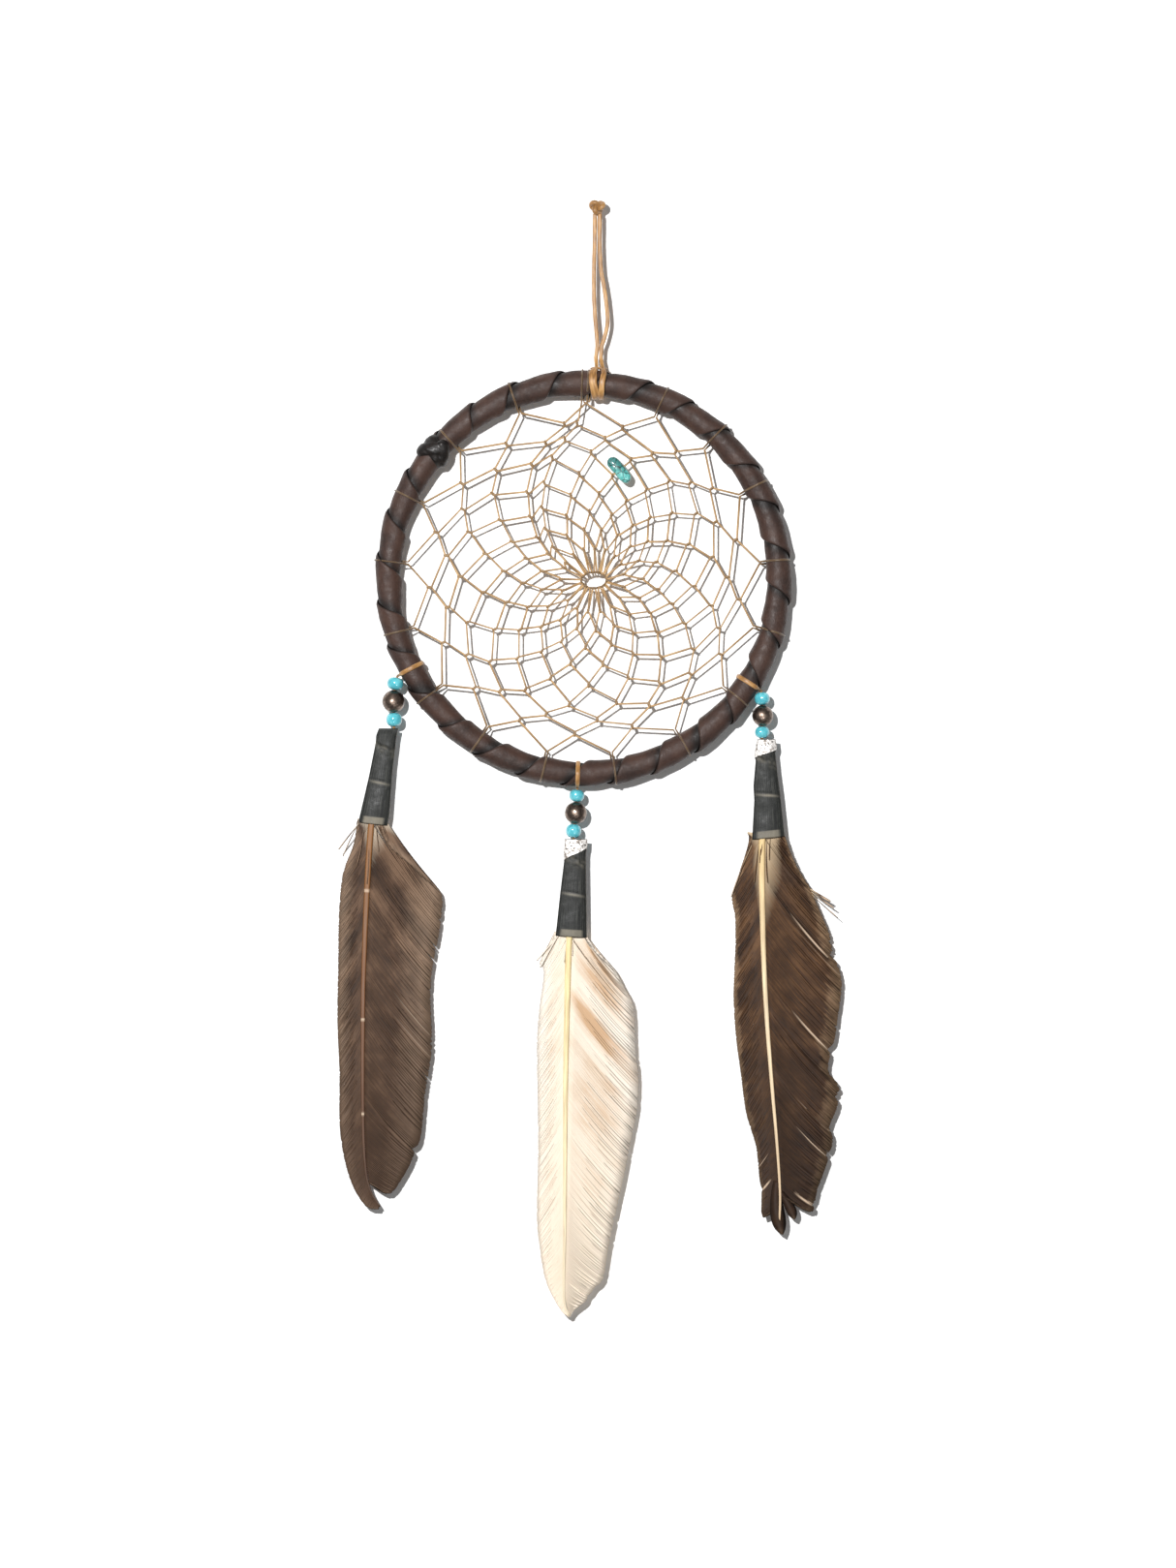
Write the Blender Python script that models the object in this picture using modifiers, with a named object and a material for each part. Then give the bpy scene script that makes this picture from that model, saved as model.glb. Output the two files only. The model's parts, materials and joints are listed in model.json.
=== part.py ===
"""A dream catcher: a leather-wrapped hoop with a sinew net, a lace loop and three beaded feathers.

It hangs in the XZ plane with its front towards -Y. The origin is the point where the loop hangs on its nail.
Places are written as (x, z) in millimetres from the hoop's centre.
"""

import math

import bmesh
import bpy
from mathutils import Vector

MM = 0.001
GAP = 0.35  # clearance between pieces that touch, mm

# Hoop and leather, mm
HANG_X, HANG_Z = 4.8, 131.7  # the hang point, from the hoop's centre
HOOP_RADIUS = 71.6  # to the middle of the tube
CANE_RADIUS = 3.1
LEATHER_THICKNESS = 0.8
LEATHER_RADIUS = 4.45  # outside of the leather, across the tube
WRAP_TURNS = 28
STEPS_PER_TURN = 10

# Net, mm and degrees
SINEW = 0.55
KNOT_DEPTH = 0.4  # each thread passes this far before or behind the net's middle plane at a knot
ANCHOR_BEARINGS = (88.5, 111, 134, 155, 175, 196, 217, 237, 258, 279, 301, 322, 344, 365, 388, 407, 426)
ANCHORS = len(ANCHOR_BEARINGS)
SECOND_TURN = 0.08  # the thread's second turn at the top anchor is this share of an anchor past its first
KNOTS_PER_ROUND = ANCHORS + 1
ROUND_RADII = (64.6, 57.0, 51.8, 46.5, 38.8, 31.5, 24.8, 18.4, 11.4)
TURN_SHIFT = 0.45  # half of what a turn round the hoop moves along it
SWIRL = 2.2  # degrees that each round turns clockwise from the middle of the strand it hangs on
HUB = (3.8, -0.7)
HUB_HALF_SIZE = (4.3, 2.6)
CHIP_KNOT = 69  # the chip's strand runs inwards from this knot, counted along the thread
CHIP_ALONG = 0.62  # how far down that strand the chip sits
CHIP_HALF_SIZE = (2.1, 1.7, 5.8)
CHIP_BORE = 1.3

# Lace loop, mm
LACE = 1.4
HITCH_X = (3.5, 7.2)  # the two turns of the lark's head
LEFT_STRAND = [(4.1, 130.8), (4.0, 122), (3.8, 113), (3.8, 104), (4.1, 97), (4.7, 90), (5.0, 85), (4.5, 81)]
RIGHT_STRAND = [
    (5.9, 130.8), (5.9, 122), (6.4, 113), (7.6, 106), (8.6, 98), (8.7, 93), (7.6, 88), (6.6, 85), (6.3, 81),
]

# Pendants, mm. Each bead is (middle x, width, length along its string).
STRING = 0.9
BORE_RADIUS = 0.8
QUILL_ROOT = 0.3  # how far down its sleeve the quill's root lies
BEAD_GAP = 0.25
DROP_TO_FIRST_BEAD = 0.6
DROP_TO_SLEEVE = 0.7
TAPE = 0.5
VANE_THICKNESS = 0.8
BAND_OPENING = 28  # degrees each side of the outermost point, where the string leaves

# A feather's points are (x, drop) from the middle of its sleeve's mouth.
PENDANTS = {
    "left": {
        "bearing": 207.7,
        "beads": [(-69.0, 6.0, 4.6), (-69.7, 8.2, 8.2), (-69.5, 5.8, 5.0)],
        "sleeve_top": (-71.6, 6.9, 3.4),
        "mouth": (-77.4, -90.0, 10.8, 4.0),
        "quill": [(-0.6, 0), (-2.0, 24), (-3.2, 53), (-3.5, 72), (-3.5, 106), (-2.7, 125), (-0.9, 134),
                  (2.3, 140)],
        "left_edge": [(-5, 0.4), (-7, 9), (-11, 19), (-12.3, 34), (-12.6, 60), (-12.3, 85), (-11.8, 110),
                      (-10.3, 123), (-7, 133), (-2.2, 140.4), (1.5, 141.6)],
        "right_edge": [(3, 0.4), (6.2, 8), (13, 14), (18.8, 19), (24.6, 25), (25.3, 31), (23.6, 43),
                       (21.4, 60), (21.6, 79), (19.2, 99), (17.8, 114), (15.5, 121), (11.9, 128.3),
                       (6.8, 135.2), (1, 132)],
        "feather": (0.30, 0.21, 0.15),
    },
    "bottom": {
        "bearing": 268.3,
        "beads": [(-2.5, 5.5, 4.4), (-2.9, 8.1, 8.1), (-3.7, 5.6, 5.0)],
        "sleeve_top": (-2.7, 8.1, 3.4),
        "mouth": (-4.4, -131.4, 11.4, 4.0),
        "quill": [(-0.6, 0), (-1.6, 22), (-2.2, 51), (-2.4, 80), (-2.5, 108), (-2.6, 132), (-1.4, 138)],
        "left_edge": [(-5.3, 0.4), (-9.3, 5.4), (-11.6, 10), (-10.6, 15), (-11.8, 27), (-12.5, 40),
                      (-12.2, 70), (-12.5, 103), (-11.6, 114), (-10.2, 123), (-7.8, 130.3), (-3.4, 138)],
        "right_edge": [(5.3, 0.4), (9.8, 6.4), (15.6, 12), (19.3, 19), (22.7, 27), (24.2, 47), (24, 62),
                       (21.6, 75), (18.8, 89), (15.6, 103), (12, 123), (8.4, 129), (1, 138.4)],
        "feather": (0.88, 0.80, 0.68),
    },
    "right": {
        "bearing": 327.6,
        "beads": [(65.4, 5.6, 4.7), (65.6, 7.7, 7.7), (65.4, 5.3, 4.3)],
        "sleeve_top": (66.8, 6.9, 3.4),
        "mouth": (67.6, -94.9, 12.2, 4.0),
        "quill": [(-1.4, 0), (-2.3, 10), (-2.1, 25), (-1.6, 45), (-0.6, 65), (0.9, 85), (2.4, 103),
                  (3.7, 119), (4.2, 141)],
        "left_edge": [(-5.7, 0.4), (-9.2, 10), (-12.8, 22), (-11.9, 35), (-12.5, 59), (-11.5, 75),
                      (-8.1, 100), (-4.1, 115), (-2.2, 131), (-1.9, 139), (1.5, 145)],
        "right_edge": [(5.7, 0.4), (8.9, 8), (12.8, 15), (18.5, 27), (22.4, 36), (26.8, 53), (25.8, 65),
                       (23.5, 85), (25.8, 95), (23.5, 106), (22.7, 116), (17.8, 130.5), (15.3, 137),
                       (6.5, 133)],
        "feather": (0.24, 0.16, 0.10),
    },
}


def place(x, z, y=0.0):
    """A point given in mm from the hoop's centre, in metres from the hang point."""
    return Vector((x - HANG_X, y, z - HANG_Z)) * MM


def clear_scene():
    for obj in list(bpy.data.objects):
        bpy.data.objects.remove(obj, do_unlink=True)


def material(name, colour, roughness, metallic=0.0):
    made = bpy.data.materials.new(name)
    made.use_nodes = True
    shader = made.node_tree.nodes["Principled BSDF"]
    shader.inputs["Base Color"].default_value = (*colour, 1.0)
    shader.inputs["Roughness"].default_value = roughness
    shader.inputs["Metallic"].default_value = metallic
    made.diffuse_color = (*colour, 1.0)
    return made


class Workshop:
    """Makes the named pieces, each in the object's collection and on the pivot that it moves about."""

    def __init__(self, name):
        self.parts = bpy.data.collections.new(name)
        self.cutters = bpy.data.collections.new("cutters")
        for collection in (self.parts, self.cutters):
            bpy.context.scene.collection.children.link(collection)
        self.leather = material("dark_leather", (0.045, 0.022, 0.015), 0.45)
        self.cane = material("cane", (0.45, 0.30, 0.16), 0.6)
        self.sinew = material("golden_sinew", (0.62, 0.36, 0.14), 0.5)
        self.lace = material("tan_lace", (0.55, 0.28, 0.09), 0.5)
        self.turquoise = material("turquoise_stone", (0.12, 0.50, 0.47), 0.35)
        self.glass = material("turquoise_glass", (0.07, 0.45, 0.55), 0.1)
        self.metal = material("antique_bronze", (0.20, 0.13, 0.10), 0.25, 1.0)
        self.tape = material("dark_tape", (0.05, 0.06, 0.06), 0.35)

    def pivot(self, name, where):
        """An empty at a joint, which the pieces that turn there are parented to."""
        empty = bpy.data.objects.new(name, None)
        empty.empty_display_size = 5 * MM
        empty.location = where
        self.parts.objects.link(empty)
        return empty

    def add(self, name, data, mat, pivot=None):
        obj = bpy.data.objects.new(name, data)
        obj.parent = pivot
        data.materials.append(mat)
        self.parts.objects.link(obj)
        return obj

    def tube(self, name, points, mat, diameter, pivot=None, resolution=2, taper=None):
        """A round cord through points in metres from its pivot. taper is the diameter's share at each."""
        curve = bpy.data.curves.new(name, "CURVE")
        curve.dimensions = "3D"
        curve.bevel_depth = diameter / 2 * MM
        curve.bevel_resolution = resolution
        curve.use_fill_caps = True
        spline = curve.splines.new("POLY")
        spline.points.add(len(points) - 1)
        for i, point in enumerate(points):
            spline.points[i].co = (*point, 1.0)
            spline.points[i].radius = taper[i] if taper else 1.0
        return self.add(name, curve, mat, pivot)

    def flat(self, name, outline, mat, thickness, pivot):
        """A flat piece in the XZ plane. The outline is (x, z) in mm from the pivot."""
        curve = bpy.data.curves.new(name, "CURVE")
        curve.dimensions = "2D"
        curve.fill_mode = "BOTH"
        curve.extrude = thickness / 2 * MM
        spline = curve.splines.new("POLY")
        spline.points.add(len(outline) - 1)
        for i, (x, z) in enumerate(outline):
            spline.points[i].co = (x * MM, z * MM, 0.0, 1.0)
        spline.use_cyclic_u = True
        obj = self.add(name, curve, mat, pivot)
        obj.rotation_euler = (math.pi / 2, 0, 0)
        return obj

    def surface(self, name, rows, mat, thickness, pivot=None, closed=False):
        """A shell: rows of points in metres, joined to each other and thickened inwards."""
        bm = bmesh.new()
        grid = [[bm.verts.new(point) for point in row] for row in rows]
        for near, far in zip(grid, grid[1:]):
            count = len(near) if closed else len(near) - 1
            for c in range(count):
                d = (c + 1) % len(near)
                bm.faces.new((near[c], near[d], far[d], far[c]))
        mesh = bpy.data.meshes.new(name)
        bm.to_mesh(mesh)
        bm.free()
        obj = self.add(name, mesh, mat, pivot)
        shell = obj.modifiers.new("thickness", "SOLIDIFY")
        shell.thickness = thickness * MM
        shell.offset = -1
        return obj

    def ball(self, name, half_size, mat, pivot=None, where=(0, 0, 0), turn=None, segments=16, rings=10):
        """An ellipsoid whose half sizes are in mm."""
        bm = bmesh.new()
        bmesh.ops.create_uvsphere(bm, u_segments=segments, v_segments=rings, radius=1.0)
        bmesh.ops.scale(bm, vec=Vector(half_size) * MM, verts=bm.verts)
        mesh = bpy.data.meshes.new(name)
        bm.to_mesh(mesh)
        bm.free()
        mesh.shade_smooth()
        obj = self.add(name, mesh, mat, pivot)
        obj.location = where
        if turn is not None:
            obj.rotation_mode = "QUATERNION"
            obj.rotation_quaternion = turn
        return obj

    def torus(self, name, mat, tube_radius, segments, tube_segments):
        """A ring along the middle of the hoop's tube."""
        bpy.ops.mesh.primitive_torus_add(
            location=place(0, 0), rotation=(math.pi / 2, 0, 0), major_segments=segments,
            minor_segments=tube_segments, major_radius=HOOP_RADIUS * MM, minor_radius=tube_radius * MM,
        )
        ring = bpy.context.object
        ring.name = ring.data.name = name
        ring.data.materials.append(mat)
        for collection in list(ring.users_collection):
            collection.objects.unlink(ring)
        self.parts.objects.link(ring)
        return ring

    def cut(self, obj, cutter):
        """Takes the cutter's shape out of a piece."""
        self.parts.objects.unlink(cutter)
        self.cutters.objects.link(cutter)
        cutter.hide_render = True
        cutter.display_type = "WIRE"
        trim = obj.modifiers.new("cut", "BOOLEAN")
        trim.operation = "DIFFERENCE"
        trim.solver = "EXACT"
        trim.object = cutter


def catmull_rom(a, b, c, d, t):
    slope, bend, twist = c - a, a * 2 - b * 5 + c * 4 - d, b * 3 - a - c * 3 + d
    return (b * 2 + slope * t + bend * t * t + twist * t * t * t) / 2


def smooth(points, steps):
    """A smooth curve through the points, with this many steps between each two."""
    ends = [points[0] * 2 - points[1], *points, points[-1] * 2 - points[-2]]
    curve = []
    for i in range(len(points) - 1):
        for s in range(steps):
            curve.append(catmull_rom(*ends[i:i + 4], s / steps))
    return [*curve, points[-1]]


def around_tube(bearing, angle, radius, along=0.0):
    """A point round the hoop's tube: angle is 0 on the inner side and 90 at the back, along is in mm."""
    turn = math.radians(bearing) + along / HOOP_RADIUS
    out = HOOP_RADIUS - radius * math.cos(math.radians(angle))
    return place(out * math.cos(turn), out * math.sin(turn), radius * math.sin(math.radians(angle)))


# The net


def bearing_of(place_on_hoop):
    """The bearing of a place between two anchors, counted in anchors anticlockwise from the top."""
    whole = math.floor(place_on_hoop)
    near, far = (ANCHOR_BEARINGS[n % ANCHORS] + 360 * (n // ANCHORS) for n in (whole, whole + 1))
    return near + (far - near) * (place_on_hoop - whole)


def knot_places():
    """Each knot's place round the hoop. After the first round, it is halfway along the strand it catches."""
    places = [*range(ANCHORS), ANCHORS + SECOND_TURN]
    while len(places) < KNOTS_PER_ROUND * (len(ROUND_RADII) + 1):
        places.append((places[-KNOTS_PER_ROUND] + places[1 - KNOTS_PER_ROUND]) / 2 + ANCHORS)
    return places


PLACES = knot_places()
RING_START = KNOTS_PER_ROUND * len(ROUND_RADII)  # the first of the knots on the hub's rim


def knot(number, depth):
    """A knot of the net. The first round lies on the hoop, and the knots of the ring on the hub's rim."""
    round_number = number // KNOTS_PER_ROUND
    turn = math.radians(bearing_of(PLACES[number]) - SWIRL * round_number)
    wide, tall = HUB_HALF_SIZE
    if number < RING_START:
        wide = tall = ROUND_RADII[round_number]
    shift = round_number / len(ROUND_RADII)
    return place(HUB[0] * shift + wide * math.cos(turn), HUB[1] * shift + tall * math.sin(turn), depth)


def turn_round_hoop(bearing):
    """One turn of the net's thread round the leather, from its hitch on the inner side back to it."""
    radius = LEATHER_RADIUS + GAP + 0.1 + SINEW / 2
    hitch = HOOP_RADIUS - ROUND_RADII[0]
    turn = [around_tube(bearing, 0, hitch, -TURN_SHIFT)]
    for angle in range(45, 316, 30):
        turn.append(around_tube(bearing, angle, radius, TURN_SHIFT * (angle - 180) / 135))
    return [*turn, around_tube(bearing, 0, hitch, TURN_SHIFT)]


def net_thread():
    """The one thread of the net, from its first turn round the hoop to the ring that closes the hub."""
    path = []
    for number in range(RING_START):
        if number < KNOTS_PER_ROUND:
            path.extend(turn_round_hoop(bearing_of(PLACES[number])))
        else:
            path.append(knot(number, KNOT_DEPTH))
        path.append(knot(number + KNOTS_PER_ROUND, -KNOT_DEPTH))
    path.extend(knot(number, KNOT_DEPTH) for number in range(RING_START, len(PLACES)))
    return path


def chip_strand():
    """The two knots of the strand that the turquoise chip is threaded on."""
    above = knot(CHIP_KNOT, KNOT_DEPTH)
    below = knot(CHIP_KNOT + KNOTS_PER_ROUND, -KNOT_DEPTH)
    return above, below


# The pieces


def make_hoop(shop):
    """A cane hoop, and the leather strip wound round it with a narrow gap between its turns."""
    shop.torus("inner_hoop", shop.cane, CANE_RADIUS, 48, 8)
    pitch = 360 / WRAP_TURNS
    width = pitch - math.degrees(GAP / (HOOP_RADIUS - LEATHER_RADIUS))
    last_turn = WRAP_TURNS - 0.02  # the strip's end stops just short of its start
    rows = []
    for step in range(WRAP_TURNS * STEPS_PER_TURN + 1):
        turns = min(step / STEPS_PER_TURN, last_turn)
        edge = turns * pitch
        rows.append([around_tube(edge + width * c / 2, 360 * turns, LEATHER_RADIUS) for c in range(3)])
    shop.surface("leather_wrap", rows, shop.leather, LEATHER_THICKNESS)


def make_leather_knot(shop):
    """The lump where the strip is tied off sits on the front of the wrapped hoop."""
    bearing = 139.7
    knot_end = shop.ball(
        "leather_end_knot", (5.2, 4.4, 6.2), shop.leather,
        where=around_tube(bearing, 275, LEATHER_RADIUS + 1.4),
    )
    seat = shop.torus("knot_seat", shop.leather, LEATHER_RADIUS + GAP, 96, 24)
    shop.cut(knot_end, seat)


def make_net(shop):
    shop.tube("web_sinew", net_thread(), shop.sinew, SINEW, resolution=0)


def make_chip(shop):
    """The chip is drilled across its middle and hangs across its strand."""
    above, below = chip_strand()
    strand = (above - below).normalized()
    pivot = shop.pivot("chip_pivot", above.lerp(below, CHIP_ALONG))
    long_way = Vector((0, 1, 0)).cross(strand)
    turn = long_way.to_track_quat("Z", "Y")
    chip = shop.ball(
        "turquoise_chip", CHIP_HALF_SIZE, shop.turquoise, pivot, turn=turn, segments=14, rings=12,
    )
    bore = shop.tube("chip_bore", [-strand * 6 * MM, strand * 6 * MM], shop.turquoise, CHIP_BORE, pivot)
    shop.cut(chip, as_mesh(bore, shop))


def as_mesh(curve_object, shop):
    """The same shape as a mesh with its caps joined on, for cutting."""
    bpy.context.view_layer.update()
    graph = bpy.context.evaluated_depsgraph_get()
    mesh = bpy.data.meshes.new_from_object(curve_object.evaluated_get(graph))
    bm = bmesh.new()
    bm.from_mesh(mesh)
    bmesh.ops.remove_doubles(bm, verts=bm.verts, dist=0.00001)
    bm.to_mesh(mesh)
    bm.free()
    solid = bpy.data.objects.new(curve_object.name + "_solid", mesh)
    solid.matrix_world = curve_object.matrix_world.copy()
    shop.parts.objects.link(solid)
    bpy.data.objects.remove(curve_object, do_unlink=True)
    return solid


def make_lace(shop):
    """The lace comes down from its knot, makes a lark's head round the hoop and goes back up."""
    hang = place(HANG_X, HANG_Z)
    shop.ball("loop_knot", (3.3, 2.8, 3.2), shop.lace, where=hang + Vector((0.2, 0, 4.4)) * MM)
    swing = shop.pivot("loop_pivot", hang)
    radius = LEATHER_RADIUS + GAP + 0.1 + LACE / 2
    left = smooth([place(x, z) for x, z in LEFT_STRAND], 2)
    right = smooth([place(x, z) for x, z in RIGHT_STRAND], 2)

    turns = []
    for x in HITCH_X:
        bearing = math.degrees(math.acos(x / HOOP_RADIUS))
        # down the front, under the hoop and up its back
        turns.append([around_tube(bearing, angle, radius) for angle in range(190, 541, 25)])
    path = [*left, *turns[0], *reversed(turns[1]), *reversed(right)]
    shop.tube("hanging_loop", path, shop.lace, LACE, swing)


def bead_profile(width, length):
    """Half of a drilled bead's section as (radius, height), from the top of its bore round its outer side."""
    half_width, half_length = width / 2, length / 2
    start = math.asin(BORE_RADIUS / half_width)
    profile = []
    for n in range(9):
        angle = start + (math.pi - 2 * start) * n / 8
        profile.append((half_width * math.sin(angle), half_length * math.cos(angle)))
    return profile


def make_bead(shop, name, middle, axis, width, length, mat):
    """A turned bead on a pivot of its own, about which it spins on its string."""
    bm = bmesh.new()
    ring = [bm.verts.new((r * MM, 0, h * MM)) for r, h in bead_profile(width, length)]
    for a, b in zip(ring, [*ring[1:], ring[0]]):
        bm.edges.new((a, b))
    mesh = bpy.data.meshes.new(name)
    bm.to_mesh(mesh)
    bm.free()
    pivot = shop.pivot(name + "_pivot", middle)
    bead = shop.add(name, mesh, mat, pivot)
    bead.rotation_mode = "QUATERNION"
    bead.rotation_quaternion = axis.to_track_quat("Z", "Y")
    turned = bead.modifiers.new("turned", "SCREW")
    turned.steps = turned.render_steps = 14
    turned.use_merge_vertices = True
    turned.merge_threshold = 0.00001
    turned.use_smooth_shade = True
    return bead


def half_length_at_bore(width, length):
    return length / 2 * math.sqrt(1 - (2 * BORE_RADIUS / width) ** 2)


def make_sleeve(shop, name, top, mouth, pivot):
    """A flat tube of tape, narrow where the string enters and wide where the quill comes out."""
    rows = []
    for middle, width, depth in (top, mouth):
        half_width, half_depth = width / 2 * MM, depth / 2 * MM
        ring = []
        for n in range(16):
            angle = 2 * math.pi * n / 16
            # a section with flat faces and rounded edges
            squared = [math.copysign(abs(v) ** 0.6, v) for v in (math.cos(angle), math.sin(angle))]
            ring.append(middle + Vector((half_width * squared[0], half_depth * squared[1], 0)))
        rows.append(ring)
    shop.surface(name, rows, shop.tape, TAPE, pivot, closed=True)


def vane_outline(edge, quill, side, mouth):
    """The outline of one vane: down its outer edge and back up beside the quill."""
    inner = []
    for x, drop in along_quill(quill, edge[0][1], edge[-1][1]):
        inner.append((x + side * (quill_radius(drop, quill) + GAP), drop))
    return [(mouth[0] + x, mouth[1] - drop) for x, drop in [*edge, *reversed(inner)]]


def quill_radius(drop, quill):
    return 1.15 - 0.85 * max(drop, 0) / quill[-1][1]


def along_quill(quill, start, end):
    """The quill's own points between two drops, with a point added at each of those ends."""
    def at(drop):
        for (x1, d1), (x2, d2) in zip(quill, quill[1:]):
            if drop <= d2:
                return x1 + (x2 - x1) * (drop - d1) / (d2 - d1)
        return quill[-1][0]

    end = min(end, quill[-1][1])
    inside = [(x, drop) for x, drop in quill if start < drop < end]
    return [(at(start), start), *inside, (at(end), end)]


def make_pendant(shop, side, spec):
    """A band round the hoop, a string with three beads, and a feather in its sleeve."""
    bearing = spec["bearing"]
    band_radius = LEATHER_RADIUS + GAP + STRING / 2
    turns = range(-180 + BAND_OPENING, 181 - BAND_OPENING, 19)
    band = [around_tube(bearing, angle, band_radius) for angle in turns]
    shop.tube(side + "_band", band, shop.lace, STRING)

    start = around_tube(bearing, 180, LEATHER_RADIUS + GAP + 0.6)
    swing = shop.pivot(side + "_string_pivot", start)

    height = start.z / MM + HANG_Z - DROP_TO_FIRST_BEAD
    middles = []
    for x, width, length in spec["beads"]:
        half = half_length_at_bore(width, length)
        middles.append(place(x, height - half))
        height -= 2 * half + BEAD_GAP
    height += BEAD_GAP - DROP_TO_SLEEVE / 2
    hinge = place(spec["beads"][2][0], height)

    route = [start, *middles, hinge]
    string = smooth([point - start for point in route], 3)
    shop.tube(side + "_string", string, shop.lace, STRING, swing)
    kinds = (("top_bead", shop.glass), ("metal_bead", shop.metal), ("low_bead", shop.glass))
    for n, (kind, mat) in enumerate(kinds):
        axis = (route[n] - route[n + 2]).normalized()
        _, width, length = spec["beads"][n]
        make_bead(shop, side + "_" + kind, middles[n], axis, width, length, mat)

    tilt = shop.pivot(side + "_feather_pivot", hinge)
    top_x, top_width, top_depth = spec["sleeve_top"]
    mouth_x, mouth_z, mouth_width, mouth_depth = spec["mouth"]
    top = place(top_x, height - DROP_TO_SLEEVE / 2) - hinge
    mouth = place(mouth_x, mouth_z) - hinge
    make_sleeve(shop, side + "_sleeve", (top, top_width, top_depth), (mouth, mouth_width, mouth_depth), tilt)

    quill = spec["quill"]
    root = top.lerp(mouth, QUILL_ROOT)
    first = mouth + Vector((quill[0][0], 0, 0)) * MM
    line = [root, root.lerp(first, 0.5)] + [mouth + Vector((x, 0, -drop)) * MM for x, drop in quill]
    taper = [0.6, 0.85] + [quill_radius(drop, quill) / quill_radius(0, quill) for _, drop in quill]
    feather = material(side + "_feather", spec["feather"], 0.7)
    rachis = material(side + "_quill", [min(1.0, 1.5 * c) for c in spec["feather"]], 0.45)
    shop.tube(side + "_quill", line, rachis, 2 * quill_radius(0, quill), tilt, taper=taper)
    mouth_mm = (mouth.x / MM, mouth.z / MM)
    for vane, sign in (("left", -1), ("right", 1)):
        outline = vane_outline(spec[vane + "_edge"], quill, sign, mouth_mm)
        shop.flat(side + "_" + vane + "_vane", outline, feather, VANE_THICKNESS, tilt)


def main():
    clear_scene()
    shop = Workshop("dream_catcher")
    make_hoop(shop)
    make_leather_knot(shop)
    make_net(shop)
    make_chip(shop)
    make_lace(shop)
    for side, spec in PENDANTS.items():
        make_pendant(shop, side, spec)


main()
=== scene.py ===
"""The looks of a hanging dream catcher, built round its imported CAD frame.

Shapes are worked out in millimetres from the hoop's centre: x to the right, y towards the wall, z up.
"""

import json
import math
import random

import bmesh
import bpy
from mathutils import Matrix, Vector, noise


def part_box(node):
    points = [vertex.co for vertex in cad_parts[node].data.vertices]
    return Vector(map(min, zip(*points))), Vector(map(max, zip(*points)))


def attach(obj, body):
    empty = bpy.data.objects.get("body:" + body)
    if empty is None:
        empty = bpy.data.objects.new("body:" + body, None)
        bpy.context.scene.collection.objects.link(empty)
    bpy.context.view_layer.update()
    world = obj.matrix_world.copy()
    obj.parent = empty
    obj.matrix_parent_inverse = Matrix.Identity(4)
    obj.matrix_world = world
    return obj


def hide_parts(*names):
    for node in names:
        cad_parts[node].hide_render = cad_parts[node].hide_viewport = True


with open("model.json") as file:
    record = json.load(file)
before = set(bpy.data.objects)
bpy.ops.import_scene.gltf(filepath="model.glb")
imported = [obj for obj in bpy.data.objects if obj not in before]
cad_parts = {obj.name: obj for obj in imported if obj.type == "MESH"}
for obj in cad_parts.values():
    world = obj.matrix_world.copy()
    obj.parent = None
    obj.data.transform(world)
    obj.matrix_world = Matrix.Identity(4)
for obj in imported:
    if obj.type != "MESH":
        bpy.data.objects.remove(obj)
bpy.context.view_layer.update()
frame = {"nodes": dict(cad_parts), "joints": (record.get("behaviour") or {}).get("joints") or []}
JOINTS = {joint["name"]: joint for joint in frame["joints"]}

MM = 0.001
HOOP_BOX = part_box("inner_hoop")
CENTRE = (HOOP_BOX[0] + HOOP_BOX[1]) / 2
FRONT = Vector((0, -1, 0))

# Hoop and leather
HOOP_RADIUS = 71.6
LEATHER_RADIUS = 4.45
WRAP_TURNS = 28
PITCH = 360 / WRAP_TURNS
STEPS_PER_TURN = 48
# across the strip, from the edge that lies on the last turn to the one that the next turn covers
STRIP_LIFT = [
    (0, -0.02), (0.02, 0.3), (0.06, 0.5), (0.14, 0.42), (0.3, 0.24), (0.5, 0.1), (0.7, -0.06),
    (0.85, -0.26), (1.0, -0.5), (1.14, -0.56),
]
STRIP_THICKNESS = [(0, 0.42), (0.2, 0.75), (0.9, 0.75), (1.14, 0.5)]
KNOT_SINKS = 0.9  # how far the end knot reaches down into the leather

# Net
SINEW = 0.7
ANCHOR_BEARINGS = (88.5, 111, 134, 155, 175, 196, 217, 237, 258, 279, 301, 322, 344, 365, 388, 407, 426)
ANCHORS = len(ANCHOR_BEARINGS)
SECOND_TURN = 0.08  # the thread's second turn at the top anchor is this share of an anchor past its first
KNOTS_PER_ROUND = ANCHORS + 1
ROUND_RADII = (64.6, 57.0, 51.8, 46.5, 38.8, 31.5, 24.8, 18.4, 11.4)
TURN_SHIFT = 0.45
SWIRL = 2.2
HUB = (3.8, -0.7)
HUB_HALF_SIZE = (4.3, 2.6)
# a hitch, as (onwards, depth, outwards) from its knot
HITCH = [
    (-0.12, -0.2, -0.8), (0.22, -0.3, -0.25), (0.12, -0.4, 0.4), (0.0, 0.0, 0.86), (-0.12, 0.4, 0.4),
    (-0.22, 0.3, -0.25), (0.12, 0.2, -0.8),
]
HELD = 0.45  # how far outside its knot a hitched strand passes
CHIP_SIZE = (1.7, 2.3, 5.6)  # half its depth, its width and its length
CHIP_BORE_RADIUS = 0.6

# Lace loop: the free cord's route down one strand, twice round the hoop and up the other
LACE = 1.4
LACE_LIES_OUT = 0.45  # how far its underside is outside LEATHER_RADIUS
HITCH_X = (3.5, 7.2)
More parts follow.
